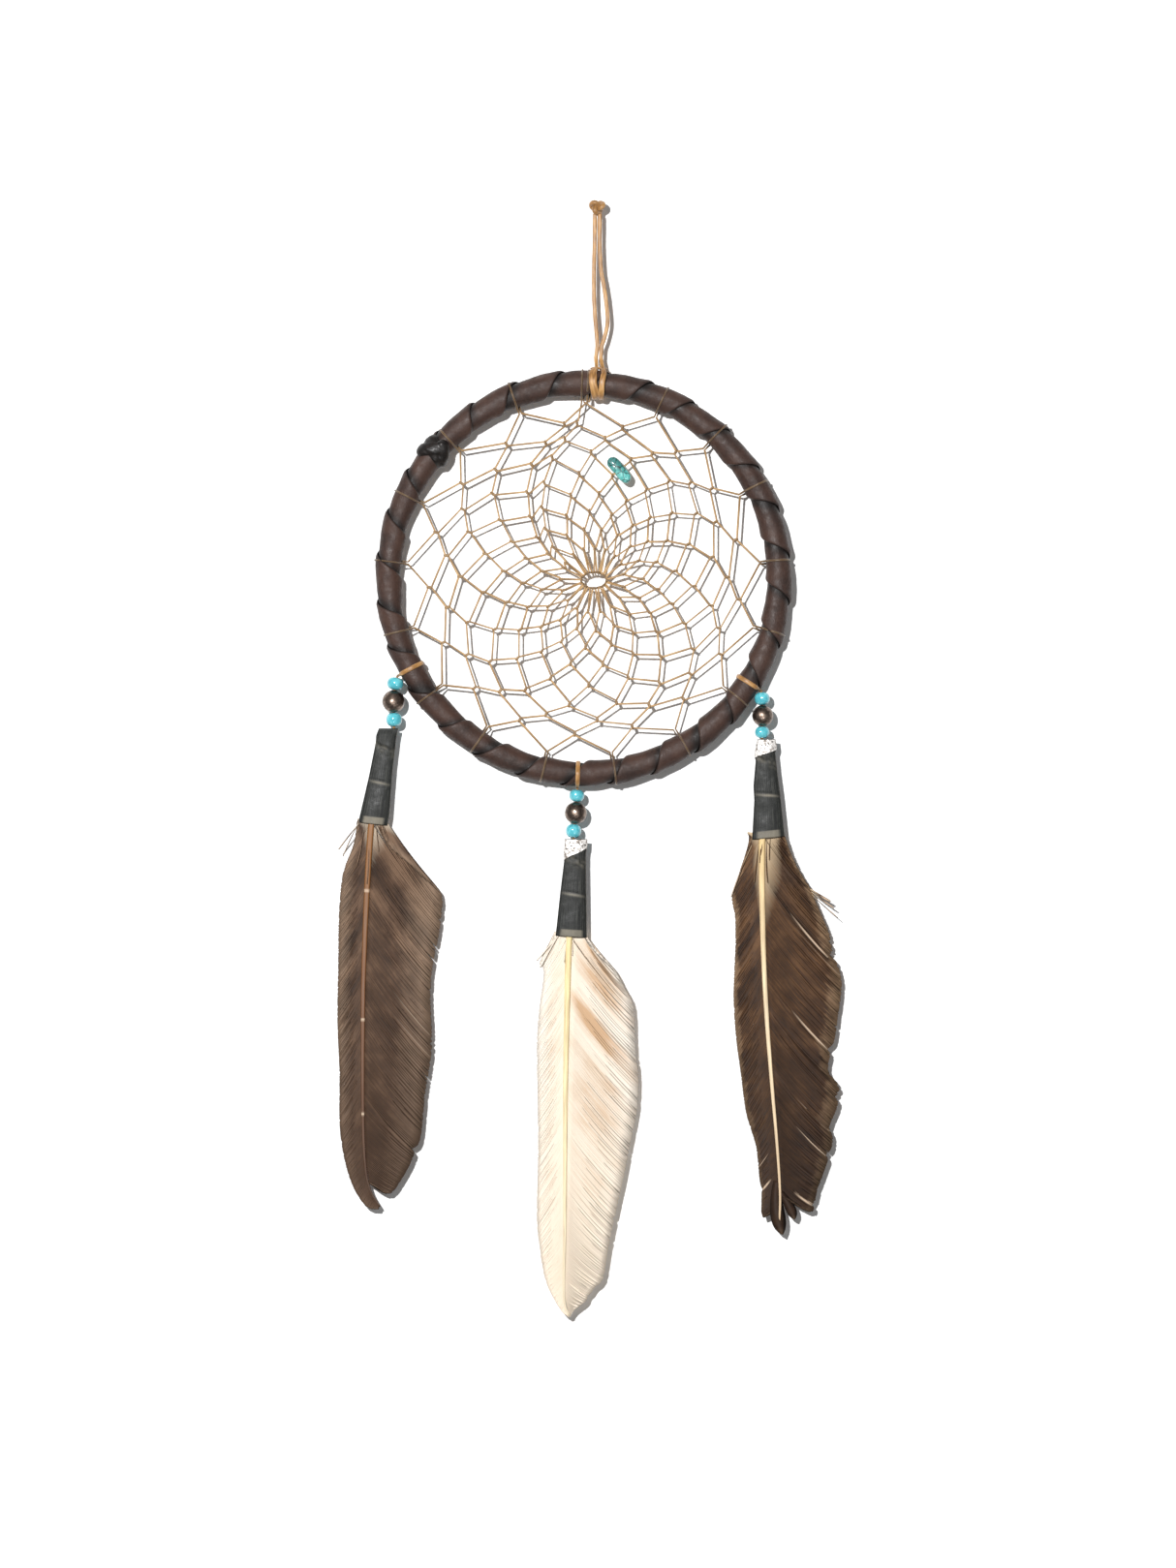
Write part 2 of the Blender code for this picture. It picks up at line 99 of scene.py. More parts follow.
# how far each turn of the lark's head drifts to the right, as (angle round the tube, mm)
LEFT_DRIFT = [(190, 0.9), (230, -0.3), (270, -0.1), (345, 1.6), (430, 0.8), (540, 0.0)]
RIGHT_DRIFT = [(190, -0.7), (230, -0.1), (270, -0.5), (345, -0.3), (430, 0.0)]
LEFT_STRAND = [
    (4.1, 133.6), (4.1, 130.8), (4.0, 122), (3.8, 113), (3.8, 104), (4.1, 97), (4.7, 90), (5.0, 85),
    (4.5, 81),
]
RIGHT_STRAND = [
    (5.9, 133.6), (5.9, 130.8), (5.9, 122), (6.4, 113), (7.6, 106), (8.6, 98), (8.7, 93), (7.6, 88),
    (6.6, 85), (6.3, 81),
]

# Sleeves and quills. The places are shares of the way down a sleeve.
SLEEVE_DEPTH = (0.95, 1.7)  # half of it, at the top and at the mouth
TAPE = 0.35  # its thickness
FOLD_AT = 0.19  # where the loose upper turn ends
CREASE_AT = 0.55
CLEAR_FROM = 0.925  # where the clear end begins
QUILL_INSIDE = 22  # about how much of the quill is inside the sleeve

# Pendants. Feather points are (x, drop) from the middle of the sleeve's mouth.
STRING = 0.9
BORE_RADIUS = 0.8
# A fullness under 1 makes a barrel of a ball. A metal bead's unevenness is its pendant's "hammered".
GLASS = {"look": "glass", "slot": "turquoise_glass", "fullness": 0.62, "unevenness": 0.07}
BRONZE = {"look": "bronze", "slot": "antique_metal", "fullness": 0.95, "unevenness": None}
BEADS = (("top", GLASS), ("metal", BRONZE), ("low", GLASS))
PENDANTS = {
    "left": {
        "bearing": 207.7,
        "beads": [(6.0, 4.6), (8.2, 8.2), (5.8, 5.0)],
        "hammered": 0.16,
        "sleeve_left": [(-75.0, -55.0), (-76.0, -57.5), (-76.2, -60.1), (-78.8, -73), (-82.6, -89.4)],
        "sleeve_right": [
            (-68.0, -55.0), (-68.7, -58.8), (-69.1, -62.7), (-69.8, -68.7), (-70.4, -76),
            (-71.2, -86.8), (-71.9, -90.6),
        ],
        "mouth": (-77.4, -90.0, 10.4),
        "quill": [
            (-0.4, 0), (-2, 24), (-3.2, 53.4), (-3.5, 71.5), (-3.5, 106), (-2.7, 124.8), (-0.9, 134),
            (2.7, 140.4),
        ],
        "left_edge": [
            (-5.3, 0.2), (-7, 8.7), (-10.8, 19), (-12.2, 34.2), (-12.4, 49.5), (-12.7, 72.2),
            (-11.9, 91.4), (-11.9, 110.2), (-10.3, 122.6), (-7, 133.3), (-2.2, 140.4), (2, 141.3),
        ],
        "right_edge": [
            (3, 0.2), (6.2, 7.6), (13, 14), (18.6, 19), (24.9, 25.4), (25.4, 31.4), (24, 42.1),
            (22.2, 50.6), (21.1, 62.7), (21.7, 79), (21.1, 87.5), (19.2, 98.9), (17.8, 113.8),
            (15.5, 120.9), (11.9, 128.3), (6.8, 135.4), (2, 133.3), (-1.7, 131.2),
        ],
    },
    "bottom": {
        "bearing": 268.3,
        "beads": [(5.5, 4.4), (8.1, 8.1), (5.6, 5.0)],
        "hammered": 0.08,
        "sleeve_left": [(-7.0, -95.6), (-7.3, -101.8), (-7.2, -103.8), (-8.5, -114.5), (-10.3, -131)],
        "sleeve_right": [(1.4, -95.6), (1.2, -97.9), (0.8, -101.2), (1.0, -114.5), (1.2, -131.7)],
        "mouth": (-4.4, -131.4, 11.2),
        "quill": [
            (-0.9, 0), (-1.6, 22.4), (-2.2, 51.2), (-2.4, 79.6), (-2.5, 108), (-2.8, 131.8),
            (-0.9, 139),
        ],
        "left_edge": [
            (-5.7, 0.2), (-9.3, 5.4), (-11.9, 9.6), (-10, 13.2), (-11.8, 27.4), (-12.6, 39.8),
            (-12.3, 60.4), (-12.1, 79.6), (-12.6, 103.4), (-11.6, 113.6), (-10.2, 123.2),
            (-7.8, 130.3), (-3.6, 137.4), (-0.9, 139.4),
        ],
        "right_edge": [
            (5.9, 0.8), (9.8, 6.4), (15.6, 12.1), (19.3, 18.9), (22.7, 26.3), (23.4, 42.6),
            (24.4, 50.1), (24.1, 62.5), (21.6, 75), (18.8, 89.2), (15.6, 103.4), (13.1, 115.8),
            (11.5, 125.4), (8.4, 128.6), (5.5, 133.2), (1.2, 136.7), (-0.7, 139.4),
        ],
    },
    "right": {
        "bearing": 327.6,
        "beads": [(5.6, 4.7), (7.7, 7.7), (5.3, 4.3)],
        "hammered": 0.02,
        "sleeve_left": [
            (63.6, -59.0), (62.5, -64.9), (63, -66.9), (62.2, -76.3), (62.5, -81.3), (61.7, -95.8),
        ],
        "sleeve_right": [
            (70.4, -59.0), (70.6, -62.2), (70.2, -64), (71.1, -71.7), (72, -78.5), (73.7, -94.5),
        ],
        "mouth": (67.6, -94.9, 12.0),
        "quill": [
            (-2.0, 0), (-2.3, 9.8), (-2.1, 24.7), (-1.6, 44.6), (-0.6, 64.5), (0.9, 84.7),
            (2.4, 102.5), (3.7, 118.5), (4.4, 132.3), (4.0, 143.3),
        ],
        "left_edge": [
            (-6, 0.2), (-9.2, 9.8), (-13.1, 22.2), (-12, 28.6), (-11.8, 39.6), (-12.5, 58.8),
            (-11.5, 74.4), (-10.1, 84.7), (-8.1, 100.3), (-5.7, 108.5), (-4.1, 114.5), (-3.1, 124.5),
            (-2.3, 131.2), (-1.9, 139.4), (3.7, 134.4),
        ],
        "right_edge": [
            (6.2, 0.2), (8.9, 7.7), (12.8, 15.1), (15.9, 19.8), (17.8, 24.9), (22.4, 35.7),
            (23.8, 42.8), (26.3, 49.6), (27, 55.6), (25.8, 64.5), (24.3, 74.4), (21.8, 85.4),
            (25.2, 90.4), (26.3, 94.7), (24.9, 100.3), (22.4, 106.4), (23.6, 110.3), (22.7, 116.3),
            (17.8, 130.5), (17.4, 134.4), (15.3, 137.3), (4.9, 131.2),
        ],
    },
}


# Shapes


class Shape:
    """The vertices and faces of one piece. Its material reads the mark of four numbers on each vertex."""

    def __init__(self):
        self.points = []
        self.marks = []
        self.faces = []

    def ring(self, points, mark):
        """Adds points that share one mark, or have one each, and returns their numbers."""
        first = len(self.points)
        self.points.extend(points)
        self.marks.extend(mark if isinstance(mark, list) else [mark] * len(points))
        return list(range(first, len(self.points)))

    def join(self, near, far, closed=True):
        """Faces between two rings of as many points."""
        count = len(near) if closed else len(near) - 1
        for n in range(count):
            m = (n + 1) % len(near)
            self.faces.append((near[n], near[m], far[m], far[n]))

    def cap(self, ring, point, mark):
        """Closes a ring with a fan round one point."""
        middle = self.ring([point], mark)[0]
        for n in range(len(ring)):
            self.faces.append((ring[n], ring[(n + 1) % len(ring)], middle))

    def piece(self, name, material, body):
        """The finished object, which moves with a CAD body."""
        mesh = bpy.data.meshes.new(name)
        mesh.from_pydata([CENTRE + Vector(p) * MM for p in self.points], [], self.faces)
        layer = mesh.attributes.new("mark", "FLOAT_COLOR", "POINT")
        layer.data.foreach_set("color", [float(value) for mark in self.marks for value in mark])
        mesh.validate()
        bm = bmesh.new()
        bm.from_mesh(mesh)
        bmesh.ops.recalc_face_normals(bm, faces=bm.faces)
        bm.to_mesh(mesh)
        bm.free()
        mesh.shade_smooth()
        mesh.materials.append(material)
        obj = add_object(name, mesh)
        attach(obj, body)
        return obj


def add_object(name, data):
    """A new object in the scene."""
    obj = bpy.data.objects.new(name, data)
    bpy.context.scene.collection.objects.link(obj)
    return obj


def in_mm(point):
    """A point of the frame, in millimetres from the hoop's centre."""
    return (Vector(point) - CENTRE) / MM


def profile(points, position):
    """The value at a position, between pairs of (position, value)."""
    if position <= points[0][0]:
        return points[0][1]
    for (p1, v1), (p2, v2) in zip(points, points[1:]):
        if position <= p2:
            return v1 + (v2 - v1) * (position - p1) / (p2 - p1)
    return points[-1][1]


def smooth_step(low, high, value):
    t = min(max((value - low) / (high - low), 0.0), 1.0)
    return t * t * (3 - 2 * t)


def catmull_rom(a, b, c, d, t):
    slope, bend, twist = c - a, a * 2 - b * 5 + c * 4 - d, b * 3 - a - c * 3 + d
    return (b * 2 + slope * t + bend * t * t + twist * t * t * t) / 2


def smooth(points, steps):
    """A smooth curve through the points, with this many steps between each two."""
    ends = [points[0] * 2 - points[1], *points, points[-1] * 2 - points[-2]]
    curve = []
    for i in range(len(points) - 1):
        for s in range(steps):
            curve.append(catmull_rom(*ends[i:i + 4], s / steps))
    return [*curve, points[-1]]


def lengths(path):
    """How far along the path each of its points is."""
    far = [0.0]
    for a, b in zip(path, path[1:]):
        far.append(far[-1] + (b - a).length)
    return far


def at_share(path, share):
    """The point at a share of the path's length."""
    far = lengths(path)
    wanted = share * far[-1]
    for i in range(1, len(path)):
        if wanted <= far[i]:
            step = far[i] - far[i - 1]
            return path[i - 1].lerp(path[i], (wanted - far[i - 1]) / step if step else 0.0)
    return path[-1].copy()


def direction(path, i):
    return (path[min(i + 1, len(path) - 1)] - path[max(i - 1, 0)]).normalized()


def carried(path, up):
    """A direction across the path at each point that starts near up and never twists."""
    ups = []
    along = direction(path, 0)
    for i in range(len(path)):
        new = direction(path, i)
        up = along.rotation_difference(new) @ up
        up = (up - new * up.dot(new)).normalized()
        ups.append(up)
        along = new
    return ups


def ellipse(half_width, half_height, sides):
    """A cord's section, as (across, outwards) offsets."""
    turns = [2 * math.pi * n / sides for n in range(sides)]
    return [(half_width * math.cos(t), half_height * math.sin(t)) for t in turns]


def sweep(shape, path, ups, section, shade=None):
    """A solid along a path. section(i) gives the offsets at a point.

    The mark is the distance along in mm / 100, two numbers that go round the section, and shade[i]."""
    far = lengths(path)
    rings = []
    for i, point in enumerate(path):
        along = direction(path, i)
        up = (ups[i] - along * ups[i].dot(along)).normalized()
        across = along.cross(up)
        offsets = section(i)
        marks = []
        for n in range(len(offsets)):
            turn = 2 * math.pi * n / len(offsets)
            marks.append((far[i] / 100, math.cos(turn), math.sin(turn), shade[i] if shade else 0.0))
        rings.append(shape.ring([point + across * a + up * b for a, b in offsets], marks))
    for near, far_ring in zip(rings, rings[1:]):
        shape.join(near, far_ring)
    last = shade[-1] if shade else 0.0
    shape.cap(rings[0], path[0], (0.0, 0.0, 0.0, shade[0] if shade else 0.0))
    shape.cap(rings[-1], path[-1], (far[-1] / 100, 0.0, 0.0, last))


# Materials


def linear(red, green, blue):
    """A colour given as 0 to 255, as the shader takes it."""
    values = []
    for value in (red, green, blue):
        value /= 255
        values.append(value / 12.92 if value <= 0.04045 else ((value + 0.055) / 1.055) ** 2.4)
    return (*values, 1.0)


SOCKETS = {
    "coat": "Coat Weight",
    "coat_roughness": "Coat Roughness",
    "metallic": "Metallic",
    "sheen": "Sheen Weight",
    "specular": "Specular IOR Level",
}


class Look:
    """A node material: a Principled shader and the nodes that feed its colour, roughness and bump."""

    def __init__(self, name, **settings):
        self.material = bpy.data.materials.new(name)
        self.material.use_nodes = True
        self.nodes = self.material.node_tree.nodes
        self.shader = self.nodes["Principled BSDF"]
        for socket, value in settings.items():
            self.shader.inputs[SOCKETS[socket]].default_value = value

    def put(self, value, socket):
        """Links a socket to another, or sets it to a number or to a colour given as 0 to 255."""
        if isinstance(value, bpy.types.NodeSocket):
            self.material.node_tree.links.new(value, socket)
        else:
            socket.default_value = linear(*value) if isinstance(value, tuple) else value

    def node(self, kind, **inputs):
        made = self.nodes.new("ShaderNode" + kind)
        for name, value in inputs.items():
            self.put(value, made.inputs[name])
        return made

    def place(self):
        """Where a point is on the piece, in metres."""
        return self.node("TexCoord").outputs["Object"]

    def mark(self):
        """The four numbers of the vertex mark."""
        attribute = self.node("Attribute")
        attribute.attribute_name = "mark"
        split = self.node("SeparateXYZ", Vector=attribute.outputs["Color"])
        return split.outputs["X"], split.outputs["Y"], split.outputs["Z"], attribute.outputs["Alpha"]

    def maths(self, operation, a, b=0.0):
        made = self.nodes.new("ShaderNodeMath")
        made.operation = operation
        self.put(a, made.inputs[0])
        self.put(b, made.inputs[1])
        return made.outputs[0]

    def noise(self, size, detail=4.0, distortion=0.0):
        """Soft noise with a grain of this size in mm."""
        scale = 1 / (size * MM)
        made = self.node("TexNoise", Vector=self.place(), Scale=scale, Detail=detail, Distortion=distortion)
        return made.outputs["Fac"]

    def streaks(self, place, stretch, detail=4.0, distortion=0.0):
        """Noise drawn out into streaks: each number of the place is multiplied by its own stretch."""
        x, y, z = (self.maths("MULTIPLY", value, factor) for value, factor in zip(place, stretch))
        where = self.node("CombineXYZ", X=x, Y=y, Z=z).outputs[0]
        made = self.node("TexNoise", Vector=where, Scale=1.0, Detail=detail, Distortion=distortion)
        return made.outputs["Fac"]

    def cells(self, size, feature="F1", where=None):
        """The distance from the middle, or the edge, of round cells of this size in mm."""
        made = self.node("TexVoronoi", Vector=where or self.place(), Scale=1 / (size * MM))
        made.feature = feature
        return made.outputs["Distance"]

    def ramp(self, value, *stops):
        """A colour, or a grey level, by value. Each stop is (value, colour or level)."""
        made = self.node("ValToRGB", Fac=value)
        elements = made.color_ramp.elements
        while len(elements) < len(stops):
            elements.new(0.5)
        for element, (position, colour) in zip(elements, stops):
            element.position = position
            element.color = linear(*colour) if isinstance(colour, tuple) else (colour, colour, colour, 1.0)
        return made.outputs["Color"]

    def mix(self, amount, a, b, blend="MIX"):
        made = self.nodes.new("ShaderNodeMix")
        made.data_type = "RGBA"
        made.blend_type = blend
        self.put(amount, made.inputs["Factor"])
        self.put(a, made.inputs[6])
        self.put(b, made.inputs[7])
        return made.outputs[2]

    def finish(self, colour, roughness, height=None, depth=0.1):
        """Feeds the shader. height is the bump, and depth its height in mm."""
        self.put(colour, self.shader.inputs["Base Color"])
        self.put(roughness, self.shader.inputs["Roughness"])
        if height is not None:
            bump = self.node("Bump", Height=height, Distance=depth * MM)
            self.put(bump.outputs["Normal"], self.shader.inputs["Normal"])
        return self.material


def leather_look():
    look = Look("leather", specular=0.36)
    turn, across, around, shade = look.mark()
    blotch = look.noise(7.0)
    fine = look.noise(0.9, detail=6.0)
    grain = look.cells(0.55)
    streak = look.streaks((turn, across, around), (60.0, 9.0, 1.0), detail=5.0, distortion=0.4)
    base = look.ramp(blotch, (0.3, (41, 26, 21)), (0.5, (55, 36, 29)), (0.72, (68, 46, 37)))
    base = look.mix(look.ramp(fine, (0.4, 0.0), (0.75, 0.28)), base, (78, 57, 47))
    # Painted shade: the mark's shade darkens the leather to near black in the seams between turns and on
    # the strip's hidden underside.
    base = look.mix(look.maths("MULTIPLY", shade, 0.9), base, (12, 8, 7))
    height = look.mix(0.35, look.mix(0.5, grain, look.noise(0.4, detail=5.0)), streak)
    rough = look.ramp(look.noise(2.2), (0.3, 0.46), (0.7, 0.72))
    return look.finish(base, rough, height, 0.2)


def knot_leather_look():
    look = Look("knotted_leather", specular=0.3, coat=0.06, coat_roughness=0.2)
    crease = look.noise(1.6, detail=5.0, distortion=1.2)
    fine = look.noise(0.6)
    base = look.ramp(crease, (0.35, (13, 10, 9)), (0.6, (24, 18, 15)), (0.8, (42, 31, 26)))
    return look.finish(base, look.ramp(fine, (0.3, 0.36), (0.7, 0.55)), look.mix(0.3, crease, fine), 0.14)


def cord_look(name, dark, middle, light, shadow, fibre=1.0, roughness=(0.36, 0.55)):
    """Waxed fibre: streaks that run along the cord and wind slowly round it."""
    look = Look(name, specular=0.5, sheen=0.15)
    along, across, around, shade = look.mark()
    streak = look.streaks((along, across, around), (28.0, 2.6 * fibre, 2.6 * fibre), detail=6.0)
    patch = look.noise(6.0)
    value = look.mix(0.35, streak, patch)
    base = look.ramp(value, (0.34, dark), (0.5, middle), (0.66, light))
    base = look.mix(look.ramp(shade, (0.0, 0.0), (1.0, 0.85)), base, shadow)
    return look.finish(base, look.ramp(streak, (0.3, roughness[0]), (0.7, roughness[1])), streak, 0.12)


def stone_look():
    look = Look("turquoise_stone", specular=0.5, coat=0.3, coat_roughness=0.15)
    warp = look.noise(2.6, detail=6.0, distortion=1.5)
    aside, down = (look.maths("MULTIPLY", warp, reach * MM) for reach in (1.6, -1.2))
    push = look.node("CombineXYZ", X=aside, Y=0.0, Z=down)
    bent = look.node("VectorMath")
    look.put(look.place(), bent.inputs[0])
    look.put(push.outputs[0], bent.inputs[1])
    vein = look.cells(2.6, "DISTANCE_TO_EDGE", bent.outputs[0])
    base = look.ramp(warp, (0.3, (58, 140, 136)), (0.5, (92, 178, 172)), (0.68, (140, 206, 198)))
    low_end = JOINTS["chip_rock"]["pos_m"][2] - CHIP_SIZE[2] * MM
    height_on_chip = look.node("SeparateXYZ", Vector=look.place()).outputs["Z"]
    up = look.maths("DIVIDE", look.maths("SUBTRACT", height_on_chip, low_end), 2 * CHIP_SIZE[2] * MM)
    base = look.mix(look.ramp(up, (0.35, 0.0), (0.72, 0.8)), base, (34, 98, 96))
    base = look.mix(look.ramp(vein, (0.0, 0.9), (0.09, 0.0)), base, (30, 34, 30))
    height = look.mix(0.5, look.ramp(vein, (0.0, 0.0), (0.08, 1.0)), look.noise(0.7))
    return look.finish(base, look.ramp(warp, (0.3, 0.2), (0.7, 0.38)), height, 0.08)


def glass_look():
    look = Look("turquoise_glass", specular=0.6, coat=0.5, coat_roughness=0.08)
    swirl = look.noise(2.4, detail=3.0, distortion=1.0)
    speck = look.noise(0.35, detail=2.0)
    base = look.ramp(swirl, (0.3, (66, 158, 172)), (0.55, (90, 184, 196)), (0.75, (122, 204, 212)))
    base = look.mix(look.ramp(speck, (0.62, 0.0), (0.8, 0.5)), base, (40, 120, 136))
    return look.finish(base, look.ramp(swirl, (0.3, 0.08), (0.7, 0.16)), look.mix(0.3, swirl, speck), 0.03)


def bronze_look():
    look = Look("antique_bronze", metallic=1.0, coat=0.2, coat_roughness=0.1)
    patch = look.noise(1.8, detail=6.0, distortion=0.8)
    pit = look.noise(0.5, detail=3.0)
    base = look.ramp(patch, (0.3, (70, 60, 54)), (0.5, (112, 97, 87)), (0.7, (158, 139, 125)))
    base = look.mix(look.ramp(pit, (0.58, 0.0), (0.75, 0.7)), base, (60, 46, 40))
    rough = look.ramp(patch, (0.3, 0.46), (0.7, 0.28))
    return look.finish(base, rough, look.mix(0.4, patch, pit), 0.12)


def tape_look():
    look = Look("dark_tape", specular=0.26)
    down, side, crease, pale = look.mark()
    run = look.streaks((side, down, crease), (26.0, 3.0, 0.0), detail=6.0, distortion=0.3)
    fleck = look.noise(0.45, detail=4.0)
    cloud = look.noise(4.0)
    base = look.ramp(run, (0.35, (15, 17, 16)), (0.55, (30, 32, 30)), (0.75, (70, 70, 64)))
    base = look.mix(look.ramp(fleck, (0.62, 0.0), (0.82, 0.4)), base, (104, 101, 92))
    # The pale mark is partly the tape's own colour and partly painted highlight: the clear end is its own
    # paler colour, the line below the crease and the rumpled fold are painted highlight, and the right edge
    # is paler too.
    paler = look.maths("MULTIPLY", pale, look.ramp(cloud, (0.3, 0.5), (0.7, 1.0)))
    base = look.mix(paler, base, (150, 142, 126))
    # Painted shade: darker along the crease and on the tape's inner side.
    base = look.mix(look.maths("MULTIPLY", crease, 0.7), base, (20, 20, 19))
    height = look.mix(0.35, run, look.mix(0.5, fleck, cloud))
    return look.finish(base, look.ramp(cloud, (0.3, 0.36), (0.7, 0.6)), height, 0.16)


def foil_look():
    look = Look("silver_foil", specular=0.6, metallic=0.35)
    crumple = look.cells(1.5)
    fine = look.noise(0.7, detail=5.0, distortion=1.0)
    # The pale middle of the ramp is the foil's own colour; the dark and grey patches that follow the
    # crumples are painted reflection and shade.
    base = look.ramp(look.mix(0.5, crumple, fine), (0.27, (58, 56, 54)), (0.37, (206, 200, 194)),
                     (0.5, (248, 244, 240)), (0.64, (140, 130, 122)))
    return look.finish(base, look.ramp(fine, (0.3, 0.22), (0.7, 0.4)), look.mix(0.5, crumple, fine), 0.3)


def feather_look(name, palette):
    """Barbs: pale at the root, banded, paler towards the vane's edge and darker towards the tip."""
    look = Look(name, specular=0.22)
    down, out, tint, pale = look.mark()
    line = look.streaks((tint, out, down), (90.0, 5.0, 6.0), detail=3.0)
    cloud = look.noise(9.0, detail=3.0)
    uneven = look.maths("SUBTRACT", look.mix(0.5, cloud, line), 0.5)
    value = look.maths("MULTIPLY", uneven, palette["unevenness"])
    banded = look.maths("MULTIPLY", tint, look.ramp(out, (0.0, palette["inner_bands"]), (0.35, 0.55)))
    value = look.maths("ADD", look.maths("ADD", value, banded), 0.5)
    core = look.ramp(value, (0.28, palette["dark"]), (0.5, palette["middle"]), (0.75, palette["light"]))
    rim = look.maths("ADD", out, look.maths("MULTIPLY", uneven, 0.5))
    core = look.mix(look.ramp(rim, *palette["rim"]), core, palette["edge"])
    core = look.mix(look.ramp(down, (0.3, 0.0), (0.95, 0.75)), core, palette["low"])
    near_root = look.maths("ADD", down, look.maths("MULTIPLY", uneven, 0.12))
    near_root = look.maths("ADD", near_root, look.maths("MULTIPLY", out, palette["root_narrows"]))
    core = look.mix(look.ramp(near_root, *palette["root_fade"]), core, palette["root"])
    paler = look.maths("MULTIPLY", pale, look.ramp(out, (0.45, 0.0), (0.7, 1.0)))
    core = look.mix(paler, core, palette["wisp"])
    return look.finish(core, look.ramp(line, (0.3, 0.55), (0.7, 0.75)), line, 0.05)


def quill_look(name, root, middle, tip, rings):
    """Horn that darkens towards the tip, with narrow pale rings at some shares of its length."""
    look = Look(name, specular=0.35, coat=0.08, coat_roughness=0.3)
    along, across, around, share = look.mark()
    streak = look.streaks((along, across, around), (9.0, 3.0, 3.0), detail=5.0)
    base = look.ramp(share, (0.0, root), (0.45, middle), (1.0, tip))
    base = look.mix(look.ramp(streak, (0.35, 0.45), (0.6, 0.0)), base, (96, 66, 40))
    for ring in rings:
        band = look.ramp(share, (ring - 0.005, 0.0), (ring, 0.85), (ring + 0.005, 0.0))
        base = look.mix(band, base, (214, 192, 166))
    return look.finish(base, look.ramp(streak, (0.3, 0.4), (0.7, 0.56)), streak, 0.08)


def cane_look():
    look = Look("cane", specular=0.3)
    grain = look.noise(1.2, detail=6.0, distortion=0.5)
    base = look.ramp(grain, (0.35, (150, 112, 70)), (0.65, (196, 158, 108)))
    return look.finish(base, look.ramp(grain, (0.3, 0.5), (0.7, 0.7)), grain, 0.1)


# Hoop and leather


def around_tube(bearing, angle, radius, along=0.0):
    """A point round the hoop's tube: angle is 0 on the inner side and 90 at the back, along is in mm."""
    turn = math.radians(bearing) + along / HOOP_RADIUS
    out = HOOP_RADIUS - radius * math.cos(math.radians(angle))
    return Vector((out * math.cos(turn), radius * math.sin(math.radians(angle)), out * math.sin(turn)))


def strip_edge(turns):
    """The bearing of the strip's upper edge after so many turns. It wanders, and closes after the last."""
    round_way = 2 * math.pi * turns / WRAP_TURNS
    wander = noise.noise(Vector((4.5 * math.cos(round_way), 4.5 * math.sin(round_way), 0.3)))
    return turns * PITCH + 1.6 * wander


def lumps(point):
    """How uneven the leather is at a point: broad dents and fine ones."""
    return 0.34 * noise.noise(point / 8.0) + 0.13 * noise.noise(point / 2.6 + Vector((7, 3, 1)))


def leather_height(bearing, angle):
    """How far the leather's surface is from the middle of the tube."""
    turns = math.floor(bearing / PITCH - angle / 360) + angle / 360
    across = min(max((bearing - strip_edge(turns)) / PITCH, 0.0), 1.0)
    return LEATHER_RADIUS + profile(STRIP_LIFT, across) + lumps(around_tube(bearing, angle, LEATHER_RADIUS))


def make_leather(looks):
    """One strip, wound round the hoop so that each turn's edge lies on the turn before it."""
    outside = [0, 0.012, 0.03, 0.06, 0.1, 0.16, 0.25, 0.36, 0.48, 0.6, 0.72, 0.82, 0.9, 0.97, 1.05, 1.14]
    inside = [1.12, 0.9, 0.6, 0.3, 0.06]
    shape = Shape()
    rings = []
    for step in range(WRAP_TURNS * STEPS_PER_TURN):
        turns = step / STEPS_PER_TURN
        edge = strip_edge(turns)
        points, marks = [], []
        for across in outside:
            bearing = edge + PITCH * across
            radius = LEATHER_RADIUS + profile(STRIP_LIFT, across)
            radius += lumps(around_tube(bearing, 360 * turns, LEATHER_RADIUS))
            points.append(around_tube(bearing, 360 * turns, radius))
            # Painted shade in the seams: dark where the next turn covers the strip, and partly dark at the
            # edge that lies on the turn before.
            shade = max(smooth_step(0.74, 0.98, across), 0.7 * (1 - smooth_step(0.0, 0.05, across)))
            marks.append((turns / 10, across, 0.0, shade))
        for across in inside:
            radius = LEATHER_RADIUS + profile(STRIP_LIFT, across) - profile(STRIP_THICKNESS, across)
            points.append(around_tube(edge + PITCH * across, 360 * turns, radius))
            # The strip's underside gets full painted shade.
            marks.append((turns / 10, across, 0.0, 1.0))
        rings.append(shape.ring(points, marks))
    for near, far in zip(rings, [*rings[1:], rings[0]]):
        shape.join(near, far)
    piece = shape.piece("leather_strip", looks["leather"], "hoop")
    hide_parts("leather_wrap")


